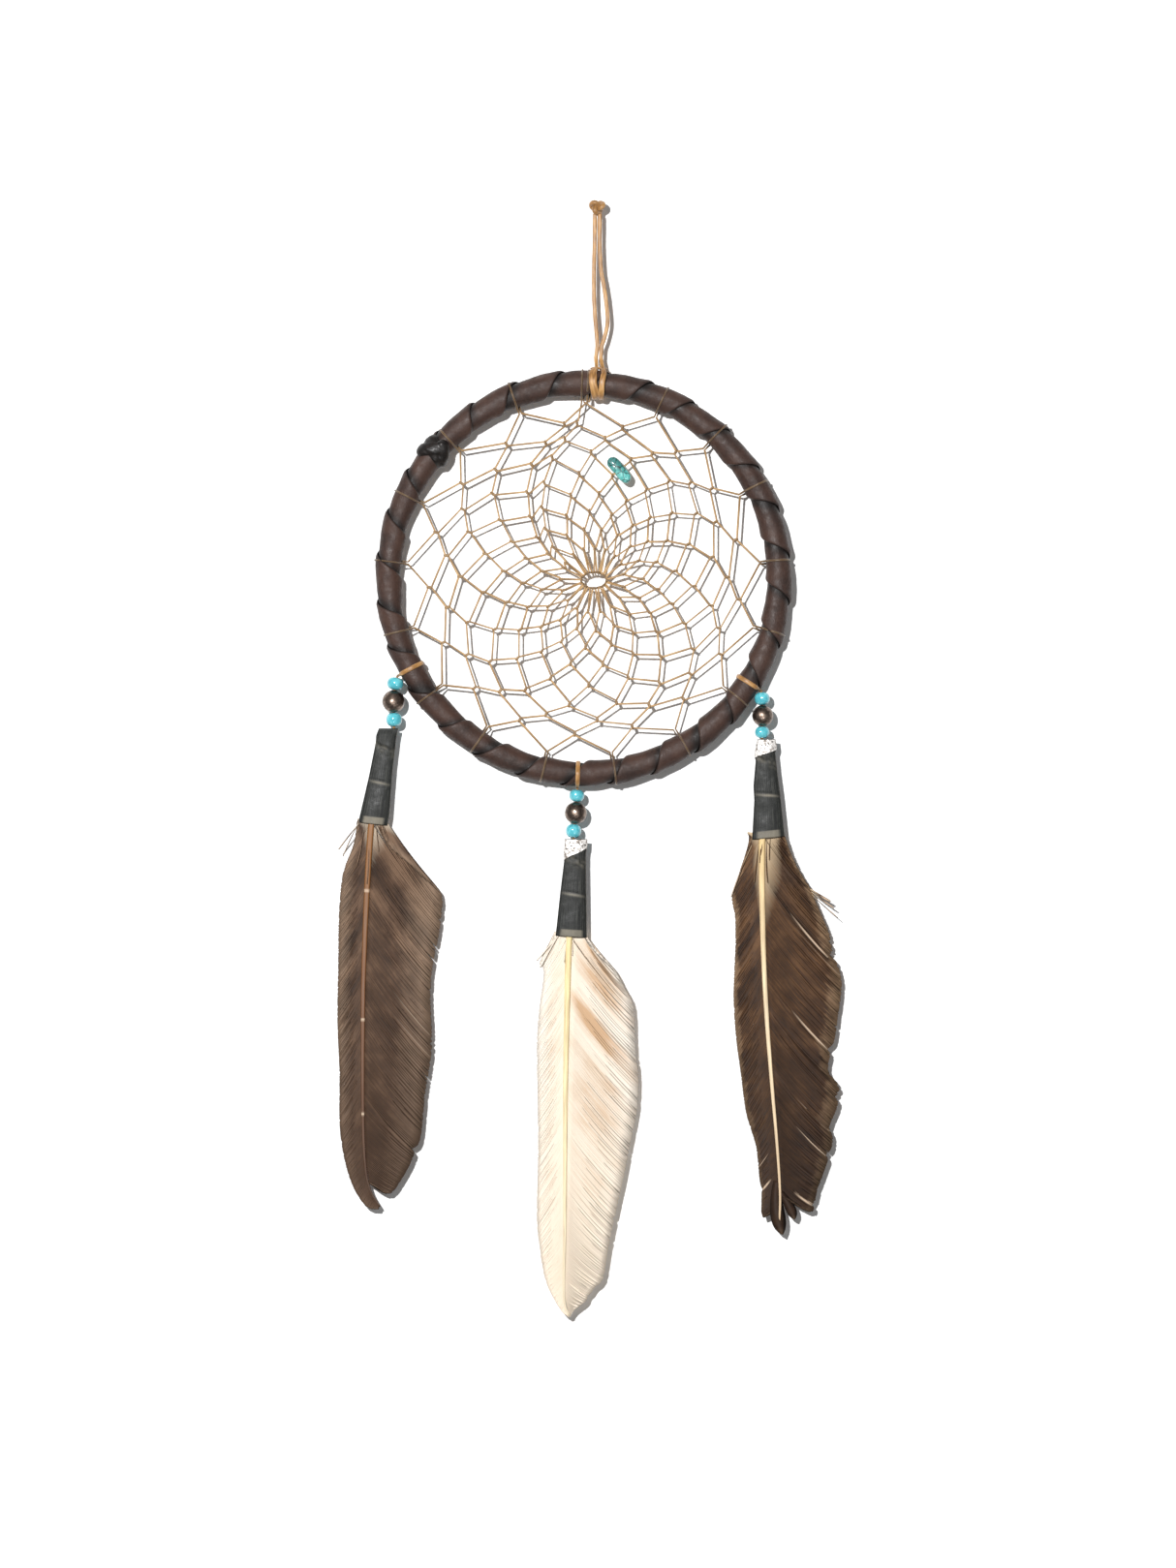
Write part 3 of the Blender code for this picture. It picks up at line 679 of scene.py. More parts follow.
def make_end_knot(looks):
    """The strip's ends are tied across the front of the hoop: folded straps over a wrapped one."""
    folds = [  # a strap as (bearing, angle) of its two ends, half width and height in mm
        ((138.5, 212), (140.5, 342), 3.3, 1.6),
        ((141.5, 216), (137.8, 292), 2.7, 2.2),
        ((137.0, 285), (140.5, 345), 2.5, 2.3),
    ]

    def height(bearing, angle):
        """How far the highest strap here is above the leather."""
        here = Vector((math.radians(bearing) * HOOP_RADIUS, math.radians(angle) * LEATHER_RADIUS))
        best = -0.5
        for start, end, half_width, rise in folds:
            a = Vector((math.radians(start[0]) * HOOP_RADIUS, math.radians(start[1]) * LEATHER_RADIUS))
            b = Vector((math.radians(end[0]) * HOOP_RADIUS, math.radians(end[1]) * LEATHER_RADIUS))
            t = min(max((here - a).dot(b - a) / (b - a).length_squared, 0.0), 1.0)
            away = (here - a.lerp(b, t)).length / half_width
            if away < 1:
                best = max(best, rise * (1 - away ** 2.6) ** 0.5 - 0.4)
        ridge = 0.25 * noise.noise(Vector((here.x / 1.1, here.y / 2.2, 0.0)))
        return best + (ridge if best > 0 else 0.0)

    shape = Shape()
    rows = []
    bearings = [129.5 + 20 * n / 60 for n in range(61)]
    angles = [185 + 190 * n / 70 for n in range(71)]
    for bearing in bearings:
        points = [around_tube(bearing, a, LEATHER_RADIUS + height(bearing, a)) for a in angles]
        points += [around_tube(bearing, a, LEATHER_RADIUS - KNOT_SINKS) for a in reversed(angles)]
        rows.append(shape.ring(points, (bearing / 100, 0.0, 0.0, 0.0)))
    for near, far in zip(rows, rows[1:]):
        shape.join(near, far)
    for row, bearing in ((rows[0], bearings[0]), (rows[-1], bearings[-1])):
        count = len(angles)
        for n in range(count - 1):
            shape.faces.append((row[n], row[n + 1], row[2 * count - 2 - n], row[2 * count - 1 - n]))
    piece = shape.piece("leather_knot_folds", looks["knot"], "hoop")
    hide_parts("leather_end_knot")


# The net


def bearing_of(place_on_hoop):
    """The bearing of a place between two anchors, counted in anchors anticlockwise from the top."""
    whole = math.floor(place_on_hoop)
    near, far = (ANCHOR_BEARINGS[n % ANCHORS] + 360 * (n // ANCHORS) for n in (whole, whole + 1))
    return near + (far - near) * (place_on_hoop - whole)


def knot_places():
    """Each knot's place round the hoop. After the first round, it halves the strand that it catches."""
    places = [*range(ANCHORS), ANCHORS + SECOND_TURN]
    while len(places) < KNOTS_PER_ROUND * (len(ROUND_RADII) + 1):
        places.append((places[-KNOTS_PER_ROUND] + places[1 - KNOTS_PER_ROUND]) / 2 + ANCHORS)
    return places


PLACES = knot_places()
RING_START = KNOTS_PER_ROUND * len(ROUND_RADII)  # the first of the knots on the hub's rim


def knot(number):
    """A knot of the net. The first round lies on the hoop, and the knots of the ring on the hub's rim."""
    round_number = number // KNOTS_PER_ROUND
    turn = math.radians(bearing_of(PLACES[number]) - SWIRL * round_number)
    wide, tall = HUB_HALF_SIZE
    if number < RING_START:
        wide = tall = ROUND_RADII[round_number]
    shift = round_number / len(ROUND_RADII)
    return Vector((HUB[0] * shift + wide * math.cos(turn), 0, HUB[1] * shift + tall * math.sin(turn)))


def hitch_axes(point):
    """The outward direction at a knot, and the way that the thread goes on round the hoop."""
    outward = (point - Vector((HUB[0], 0, HUB[1]))).normalized()
    return outward, Vector((-outward.z, 0, outward.x))


def hitch(point):
    """A thread's way round the strand that it is hitched to."""
    outward, onward = hitch_axes(point)
    return smooth([point + onward * a + Vector((0, b, 0)) + outward * c for a, b, c in HITCH], 3)


def turn_round_hoop(bearing):
    """One turn of the thread round the leather, pressed into it."""
    reach = HOOP_RADIUS - ROUND_RADII[0]
    turn = [(around_tube(bearing, 0, reach, -TURN_SHIFT), 0.6)]
    for angle in range(20, 341, 10):
        along = TURN_SHIFT * (angle - 180) / 160
        radius = leather_height(bearing, angle) + 0.1
        if angle in (20, 340):
            radius += 0.5
        turn.append((around_tube(bearing, angle, radius, along), 1.0))
    turn.append((around_tube(bearing, 0, reach, TURN_SHIFT), 0.6))
    return turn


def net_thread():
    """The one thread of the net as (point, shade), from its first turn round the hoop to the hub's ring."""
    path = []
    for number in range(RING_START):
        if number < KNOTS_PER_ROUND:
            path += turn_round_hoop(bearing_of(PLACES[number]))
        else:
            path += [(point, 0.55) for point in hitch(knot(number))]
        caught = knot(number + KNOTS_PER_ROUND)
        outward, onward = hitch_axes(caught)
        middle = caught + outward * HELD
        before, after = middle - onward * 0.5 + outward * 0.25, middle + onward * 0.5 + outward * 0.25
        path += [(before, 0.1), (middle, 0.5), (after, 0.1)]
    return path


def hub_ring():
    """The thread's end, wound twice round the hub through the last strands."""
    points = []
    for i in range(2 * KNOTS_PER_ROUND + 2):
        rim = knot(RING_START + i % KNOTS_PER_ROUND)
        outward, _ = hitch_axes(rim)
        points.append(rim + outward * (0.35 + 0.2 * math.sin(2.3 * i)) + Vector((0, 0.4 * (-1) ** i, 0)))
    return smooth(points, 3)


def make_net(looks):
    path = net_thread() + [(point, 0.8) for point in hub_ring()]
    points = [point for point, _ in path]
    shade = [value for _, value in path]

    def section(i):
        swell = 1 + 0.16 * noise.noise(points[i] / 3.0) + 0.1 * shade[i]
        return ellipse(SINEW / 2 * swell * 1.12, SINEW / 2 * swell * 0.9, 8)

    shape = Shape()
    sweep(shape, points, carried(points, FRONT), section, shade)
    piece = shape.piece("net_sinew", looks["sinew"], "hoop")
    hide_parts("web_sinew")


def make_chip(looks):
    """A tumbled pebble of turquoise, drilled across its middle for the strand that it is threaded on."""
    joint = JOINTS["chip_rock"]
    middle = in_mm(joint["pos_m"])
    strand = Vector(joint["axis"]).normalized()
    long_way = Vector((0, 1, 0)).cross(strand)
    turn = long_way.to_track_quat("Z", "Y")
    bm = bmesh.new()
    bmesh.ops.create_icosphere(bm, subdivisions=6, radius=1.0)
    deep, wide, tall = CHIP_SIZE
    for vert in bm.verts:
        way = vert.co.normalized()
        size = 1 + 0.09 * noise.noise(way * 1.1 + Vector((3, 1, 4))) + 0.03 * noise.noise(way * 3.2)
        belly = (1 - 0.08 * way.z) * (1 - abs(way.z) ** 5) ** 0.5 / max((1 - way.z ** 2) ** 0.5, 0.001)
        vert.co = turn @ Vector((way.x * deep * belly, way.y * wide * belly, way.z * tall)) * size * MM
        vert.co += CENTRE + middle * MM
    mesh = bpy.data.meshes.new("turquoise_pebble")
    bm.to_mesh(mesh)
    bm.free()
    mesh.shade_smooth()
    mesh.materials.append(looks["stone"])
    chip = add_object("turquoise_pebble", mesh)
    drill(chip, middle, strand, CHIP_BORE_RADIUS)
    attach(chip, "chip")
    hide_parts("turquoise_chip")


def drill(obj, middle, axis, radius):
    """Takes a round hole out of a mesh."""
    bm = bmesh.new()
    wide, long = radius * MM, 14 * MM
    bmesh.ops.create_cone(bm, cap_ends=True, segments=24, radius1=wide, radius2=wide, depth=long)
    bmesh.ops.rotate(bm, verts=bm.verts, cent=(0, 0, 0), matrix=axis.to_track_quat("Z", "Y").to_matrix())
    bmesh.ops.translate(bm, verts=bm.verts, vec=CENTRE + middle * MM)
    mesh = bpy.data.meshes.new("drill")
    bm.to_mesh(mesh)
    bm.free()
    cutter = add_object("drill", mesh)
    cut = obj.modifiers.new("hole", "BOOLEAN")
    cut.operation = "DIFFERENCE"
    cut.solver = "EXACT"
    cut.object = cutter
    bpy.context.view_layer.update()
    graph = bpy.context.evaluated_depsgraph_get()
    drilled = bpy.data.meshes.new_from_object(obj.evaluated_get(graph))
    obj.modifiers.clear()
    obj.data = drilled
    bpy.data.objects.remove(cutter)


# The lace loop


def lace_route():
    """The loop's middle line, the way that its flat side faces and how wide it is pressed."""
    route, faces, widths = [], [], []
    radius = LEATHER_RADIUS + LACE_LIES_OUT + LACE / 2

    def strand(points):
        curve = smooth([Vector((x, 0, z)) for x, z in points], 6)
        return curve, [FRONT.copy() for _ in curve], [1.0] * len(curve)

    def turn(x, drift, pressed):
        bearing = math.degrees(math.acos(x / HOOP_RADIUS))
        angles = range(190, 541, 10)
        # to the right along the hoop is down in bearing
        points = [around_tube(bearing, angle, radius, -profile(drift, angle)) for angle in angles]
        middle = around_tube(bearing, 0, 0)
        spread = [1 + (pressed - 1) * smooth_step(190, 230, angle) for angle in angles]
        return points, [(point - middle).normalized() for point in points], spread

    left, right = strand(LEFT_STRAND), strand(RIGHT_STRAND)
    first, second = turn(HITCH_X[0], LEFT_DRIFT, 1.9), turn(HITCH_X[1], RIGHT_DRIFT, 1.35)
    for part in (left, first):
        for whole, piece in zip((route, faces, widths), part):
            whole += piece
    for part in (second, right):
        for whole, piece in zip((route, faces, widths), part):
            whole += reversed(piece)
    return route, faces, widths


def make_lace(looks):
    """The loop, the bar of its lark's head and the knot that closes it."""
    route, faces, widths = lace_route()

    def section(i):
        swell = 1 + 0.1 * noise.noise(route[i] / 4.0)
        wide, thick = 0.5 * LACE * 1.08 * swell * widths[i], 0.5 * LACE * 0.8 * swell / widths[i] ** 0.5
        return [(a, b * (1 - 0.3 * math.exp(-(a / 0.22) ** 2))) for a, b in ellipse(wide, thick, 16)]

    shape = Shape()
    sweep(shape, route, faces, section, [0.1] * len(route))
    loop = shape.piece("lace_loop", looks["lace"], "loop")
    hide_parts("hanging_loop")

    # the knot is a trefoil that fills the CAD knot's box
    low, high = (in_mm(corner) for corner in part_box("loop_knot"))
    middle, half = (low + high) / 2, (high - low) / 2
    reach = Vector(((half.x - 0.95) / 3, 0.8 * (half.y - 1.4), (half.z - 0.95) / 3))
    tie = []
    for n in range(97):
        t = 2 * math.pi * n / 96
        x = math.sin(t) + 2 * math.sin(2 * t)
        z = math.cos(t) - 2 * math.cos(2 * t)
        y = -math.sin(3 * t)
        tie.append(middle + Vector((x * reach.x, y * reach.y, z * reach.z)))
    shape = Shape()
    sweep(shape, tie, carried(tie, FRONT), lambda i: ellipse(0.98, 0.9, 14), [0.3] * len(tie))
    knot_piece = shape.piece("lace_knot", looks["lace"], "hanger")
    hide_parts("loop_knot")


# Pendants


def make_band(looks, side, spec):
    """A flat lace wound once round the hoop. Its ends meet where the string of beads starts."""
    start = in_mm(JOINTS[side + "_swing"]["pos_m"])
    bearing = spec["bearing"]
    points, ups = [start], [around_tube(bearing, 180, 10) - around_tube(bearing, 180, 0)]
    for angle in range(-160, 161, 8):
        points.append(around_tube(bearing, angle, leather_height(bearing, angle) + 0.3))
        ups.append(points[-1] - around_tube(bearing, 0, 0))
    points.append(start)
    ups.append(ups[0])

    def section(i):
        share = min(i, len(points) - 1 - i) / 4
        wide = 0.45 + 0.35 * min(share, 1.0)
        return [(a, b * (1 - 0.4 * math.exp(-(a / 0.2) ** 2))) for a, b in ellipse(wide, 0.34, 14)]

    shape = Shape()
    sweep(shape, points, [up.normalized() for up in ups], section, [0.15] * len(points))
    piece = shape.piece(side + "_lace_band", looks["lace"], "hoop")
    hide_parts(side + "_band")


def make_string(looks, side):
    """The lace through the beads, and its end inside the sleeve, which moves with the feather."""
    names = [side + "_swing"] + [side + "_" + bead + "_bead_spin" for bead in ("top", "metal", "low")]
    route = [in_mm(JOINTS[name]["pos_m"]) for name in [*names, side + "_tilt"]]
    string = smooth(route, 8)
    inside = [route[-1], route[-1] + Vector((0, 0, -2.5)), route[-1] + Vector((0, 0, -6))]
    circle = ellipse(STRING / 2, STRING / 2, 12)
    ends = (("lace_string", string, "_string"), ("lace_end", smooth(inside, 4), "_feather"))
    for name, path, body in ends:
        shape = Shape()
        sweep(shape, path, carried(path, FRONT), lambda i: circle, [0.4] * len(path))
        piece = shape.piece(side + "_" + name, looks["lace"], side + body)
        if name == "lace_string":
            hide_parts(side + "_string")


def make_bead(looks, side, n, spec):
    """A drilled bead, turned about its string and left slightly uneven."""
    bead, kind = BEADS[n]
    body = side + "_" + bead + "_bead"
    joint = JOINTS[body + "_spin"]
    middle = in_mm(joint["pos_m"])
    turn = Vector(joint["axis"]).to_track_quat("Z", "Y")
    width, length = spec["beads"][n]
    half_width, half_length = width / 2, length / 2
    unevenness = kind["unevenness"] or spec["hammered"]
    seed = len(side) + 5 * n
    start = math.asin((BORE_RADIUS / half_width) ** (1 / kind["fullness"]))
    outline = []
    for step in range(33):
        angle = start + (math.pi - 2 * start) * step / 32
        radius = half_width * math.sin(angle) ** kind["fullness"]
        outline.append((radius, half_length * math.cos(angle)))
    top = outline[0][1]
    outline += [(BORE_RADIUS, -top + 2 * top * step / 5) for step in range(1, 5)]
    shape = Shape()
    rings = []
    for step in range(64):
        around = 2 * math.pi * step / 64
        ring = []
        for radius, height in outline:
            point = Vector((radius * math.cos(around), radius * math.sin(around), height))
            if radius > BORE_RADIUS * 1.2:
                dent = noise.noise(point / 2.4 + Vector((seed, 0, 0))) + 0.4 * noise.noise(point / 1.1)
                point *= 1 + unevenness * dent / half_width
            ring.append(middle + turn @ point)
        rings.append(shape.ring(ring, (0.0, 0.0, 0.0, 0.0)))
    for near, far in zip(rings, [*rings[1:], rings[0]]):
        shape.join(near, far)
    piece = shape.piece(side + "_" + bead + "_" + kind["look"], looks[kind["look"]], body)
    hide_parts(body)


def sleeve_point(spec, around, down, lift=0.0):
    """A point on the flat sleeve: around is 0 at its right edge and 90 at the back, down is 0 to 1."""
    left, right = ([Vector((x, 0, z)) for x, z in spec[edge]] for edge in ("sleeve_left", "sleeve_right"))
    a, b = at_share(left, down), at_share(right, down)
    turn = math.radians(around)
    side = math.copysign(abs(math.cos(turn)) ** 0.8, math.cos(turn))
    fullness = SLEEVE_DEPTH[0] + (SLEEVE_DEPTH[1] - SLEEVE_DEPTH[0]) * down
    bulge = math.copysign(abs(math.sin(turn)) ** 0.75, math.sin(turn))
    depth = bulge * (fullness * (1 - 0.35 * side * side) + lift)
    point = a.lerp(b, 0.5 + side * (0.5 + lift * 0.02))
    return point + Vector((0, depth, 0))


def line_across(down, where):
    """1 on a narrow line across the sleeve, falling to 0 beside it."""
    return math.exp(-((down - where) / 0.012) ** 2)


def make_sleeve(looks, side, spec):
    """Tape folded flat round the quill: a loose upper turn, a crease across and a clear end."""
    rows, columns = 90, 72
    shape = Shape()
    rings = []
    for inner in (False, True):
        for row in range(rows + 1):
            down = row / rows if not inner else 1 - row / rows
            points, marks = [], []
            for column in range(columns):
                around = 360 * column / columns
                turn = math.radians(around)
                side_way = math.cos(turn)
                front = max(-math.sin(turn), 0.0)
                fold = FOLD_AT + 0.05 * side_way
                upper = 1 - smooth_step(fold - 0.012, fold + 0.012, down)
                crease = line_across(down - 0.02 * side_way, CREASE_AT)
                place = Vector((side_way * 5, down * 38, len(side) * 3.0 + front))
                rumple = noise.noise(place / 2.2) * math.exp(-((down - fold - 0.03) / 0.05) ** 2)
                lift = 0.28 * upper + 0.3 * rumple - 0.16 * crease * front + 0.06 * noise.noise(place / 1.3)
                lift -= 0.6 * front * (1 - smooth_step(0.0, 0.08, down))
                if inner:
                    lift = -TAPE
                middle = 1 - smooth_step(0.5, 0.75, abs(side_way))
                clear = 0.6 * smooth_step(CLEAR_FROM, CLEAR_FROM + 0.01, down) * middle
                shine = 0.8 * line_across(down - 0.02 * side_way, CREASE_AT + 0.02) * (1 - abs(side_way))
                # Paleness: the clear end is the tape's own colour; the shine line below the crease and the
                # rumpled fold are painted highlight; the right edge is paler too.
                pale = max(clear, shine, 0.5 * abs(rumple), 0.35 * smooth_step(0.93, 1.0, side_way))
                points.append(sleeve_point(spec, around, down, lift))
                # The third number is painted shade: half the crease line, and all of the tape's inner side.
                marks.append((down, side_way, crease * 0.5 + (1.0 if inner else 0.0), pale))
            rings.append(shape.ring(points, marks))
    for near, far in zip(rings, [*rings[1:], rings[0]]):
        shape.join(near, far)
    piece = shape.piece(side + "_tape_sleeve", looks["tape"], side + "_feather")
    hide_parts(side + "_sleeve")


def rim(grid):
    """The outline of a grid of vertices, once round."""
    left = [row[0] for row in grid[-2:0:-1]]
    right = [row[-1] for row in grid[1:-1]]
    return grid[0] + right + grid[-1][::-1] + left


def make_foil(looks, side, spec, lower_left, lower_right):
    """A crumpled silver patch round the sleeve's top, cut off at a slant."""
    shape = Shape()
    rows, columns = 26, 60
    sheets = []
    for lift in (0.5, 0.1):
        grid = []
        for row in range(rows + 1):
            points = []
            for column in range(columns + 1):
                around = 168 + 204 * column / columns
                side_way = math.cos(math.radians(around))
                depth = lower_left + (lower_right - lower_left) * (side_way + 1) / 2
                down = 0.004 + (depth - 0.004) * row / rows
                place = Vector((side_way * 5, down * 38, 9.0))
                crumple = 0.34 * abs(noise.noise(place / 1.3)) + 0.16 * noise.noise(place / 0.6)
                lower = 0.25 + 0.75 * smooth_step(0.0, 0.08, down)
                points.append(sleeve_point(spec, around, down, (lift + crumple + 0.28) * lower))
            grid.append(shape.ring(points, (0.0, 0.0, 0.0, 0.0)))
        sheets.append(grid)
    outer, inner = sheets
    for near, far in zip(outer, outer[1:]):
        shape.join(near, far, closed=False)
    for near, far in zip(inner, inner[1:]):
        shape.join(near, far, closed=False)
    shape.join(rim(outer), rim(inner))
    piece = shape.piece(side + "_foil", looks["foil"], side + "_feather")


# Feathers


def feather_point(spec, x, drop, back=0.0):
    mouth_x, mouth_z, _ = spec["mouth"]
    return Vector((mouth_x + x, back, mouth_z - drop))


def quill_x(spec, drop):
    return profile([(d, x) for x, d in spec["quill"]], drop)


def cupped(x, drop, reach):
    """How far back the vane curves at a point, in mm."""
    return 1.3 * (x / 24) ** 2 + 0.5 * math.sin(drop / 23) + 0.9 * (drop / reach) ** 2


def add_barb(shape, path, width, mark, lean, taper=0.45):
    """One barb: a flat blade whose upper edge lies on the one above.

    mark is how far down the feather it starts and ends, its tint and its paleness."""
    last = len(path) - 1
    rings = []
    for i, point in enumerate(path):
        share = i / last
        along = direction(path, i)
        across = along.cross(FRONT).normalized()
        half = width / 2 * (0.55 + 0.9 * share) * (1 - taper * share ** 6)
        tilt = FRONT * (lean * half)
        root_down, end_down, tint, pale = mark
        marks = (root_down + (end_down - root_down) * share, share, tint, pale)
        upper, lower = point + across * half + tilt, point - across * half - tilt
        rings.append(shape.ring([upper, point + FRONT * 0.07, lower, point - FRONT * 0.05], marks))
    for near, far in zip(rings, rings[1:]):
        shape.join(near, far)
    shape.faces.append(tuple(rings[0]))
    shape.faces.append(tuple(reversed(rings[-1])))


def barb_path(root, end, bow, steps=8):
    """A slightly bowed line from the quill to the vane's edge."""
    across = (end - root).cross(FRONT)
    control = (root + end) / 2 + across * bow
    return [
        root * (1 - t) ** 2 + control * (2 * t * (1 - t)) + end * t * t
        for t in (n / steps for n in range(steps + 1))
    ]


def make_vane(shape, spec, style, vane, sign, dice):
    """One side of a feather: barbs from the quill down to the vane's edge, in groups that overlap."""
    edge = smooth([Vector((x, 0, drop)) for x, drop in spec[vane + "_edge"]], 3)
    reach = spec["quill"][-1][1]
    half_mouth = spec["mouth"][2] / 2
    count = style["barbs"]
    splits = style[vane + "_splits"]
    lag = style[vane + "_lag"]
    first = None
    lowest = -3.0
    for i in range(count):
        share = (i + 0.5) / count
        tip = at_share(edge, share)
        drop = tip.z
        wide = abs(tip.x - quill_x(spec, drop))
        start = drop - lag * wide * (1 - 0.45 * smooth_step(0.75, 1.0, drop / reach))
        if first is None:
            first = min(start, -1.0)
        start = min(start, reach - 0.6)
        near_split = min((abs(share - place) for place in splits), default=1.0)
        fray = 1 - 0.07 * math.exp(-(near_split / 0.008) ** 2) - dice.random() ** 6 * 0.035
        group = sum(1 for place in splits if place < share)
        lift = -0.22 * (group % 2) - 0.05 * dice.random()
        if start < 0:
            outward = min(start / first, 1.0)
            root_x = quill_x(spec, 0) + sign * half_mouth * 0.92 * outward
            root = feather_point(spec, root_x, -1.5 + start * 0.05)
            lowest = 0.0
        else:
            start = max(start, lowest)
            root = feather_point(spec, quill_x(spec, start) + sign * 0.25, start)
        end_x = quill_x(spec, drop) + (tip.x - quill_x(spec, drop)) * fray
        end_drop = drop + 0.12 * (dice.random() - 0.5)
        end = feather_point(spec, end_x, end_drop, cupped(end_x, drop, reach) + lift)
        root.y = cupped(0, max(start, 0), reach) + 0.1
        band = noise.noise(Vector((share * style["bands"], 0.0, len(vane))))
        depth = style[vane + "_band_depth"] * (1 - smooth_step(0.55, 0.75, share))
        tint = depth * (band - style["darker"]) + 0.22 * (dice.random() - 0.5)
        tint += style[vane + "_upper_light"] * (1 - smooth_step(0.12, 0.5, share))
        pale = 0.5 * style["pale"] if dice.random() < 0.008 else 0.0
        if near_split < 0.51 / count:
            pale = style["pale"]
        path = barb_path(root, end, sign * style["bow"])
        add_barb(shape, path, style["width"], (max(start, 0) / reach, drop / reach, tint, pale), 0.12)


def add_wisps(shape, spec, style, dice):
    """Loose downy barbs at the sleeve's mouth, and the stray ones along the edges."""
    half_mouth = spec["mouth"][2] / 2
    for _ in range(style["down"]):
        x = half_mouth * 0.85 * (2 * dice.random() - 1)
        long_way = 6 + 16 * dice.random()
        root = feather_point(spec, x, -1.0, -0.2 - 0.5 * dice.random())
        spread = x * (0.4 + 0.5 * dice.random()) + 2.2 * (dice.random() - 0.5)
        end = feather_point(spec, x + spread, long_way, -0.3 - 0.9 * dice.random())
        add_barb(shape, barb_path(root, end, 0.12 * (dice.random() - 0.5)), 0.3, (0.0, 0.1, 0.3, 0.0), 0.2)
    for start, end, bow, width in style["strays"]:
        root, tip = (feather_point(spec, x, drop, -0.5) for x, drop in (start, end))
        add_barb(shape, barb_path(root, tip, bow), width, (0.0, 0.05, 0.2, style["pale"]), 0.2)
    for start, end, bow, width in style["buds"]:
        root, tip = (feather_point(spec, x, drop, 0.4) for x, drop in (start, end))
        add_barb(shape, barb_path(root, tip, bow, 14), width, (0.9, 1.0, 0.0, 0.0), 0.1, 0.96)


def make_quill(looks, side, spec):
    """The shaft: round where it leaves the sleeve, with a groove down its front, and thin at the tip."""
    reach = spec["quill"][-1][1]
    points = [(sleeve_point(spec, 0, down) + sleeve_point(spec, 180, down)) / 2 for down in (0.4, 0.8)]
    points += [feather_point(spec, x, drop, cupped(0, drop, reach) - 0.2) for x, drop in spec["quill"]]
    path = smooth(points, 8)
    far = lengths(path)
    share = [max(0.0, (d - QUILL_INSIDE) / (far[-1] - QUILL_INSIDE)) for d in far]

    def section(i):
        wide = 1.2 - 0.85 * share[i]
        if far[i] < QUILL_INSIDE:
            wide = 0.7 + 0.45 * far[i] / QUILL_INSIDE
        outline = ellipse(wide, wide * 0.8, 16)
        return [(a, b * (1 - 0.35 * math.exp(-(a / 0.25) ** 2) * (b > 0))) for a, b in outline]

    shape = Shape()
    sweep(shape, path, [FRONT] * len(path), section, share)
    piece = shape.piece(side + "_shaft", looks[side + "_quill"], side + "_feather")
    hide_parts(side + "_quill")


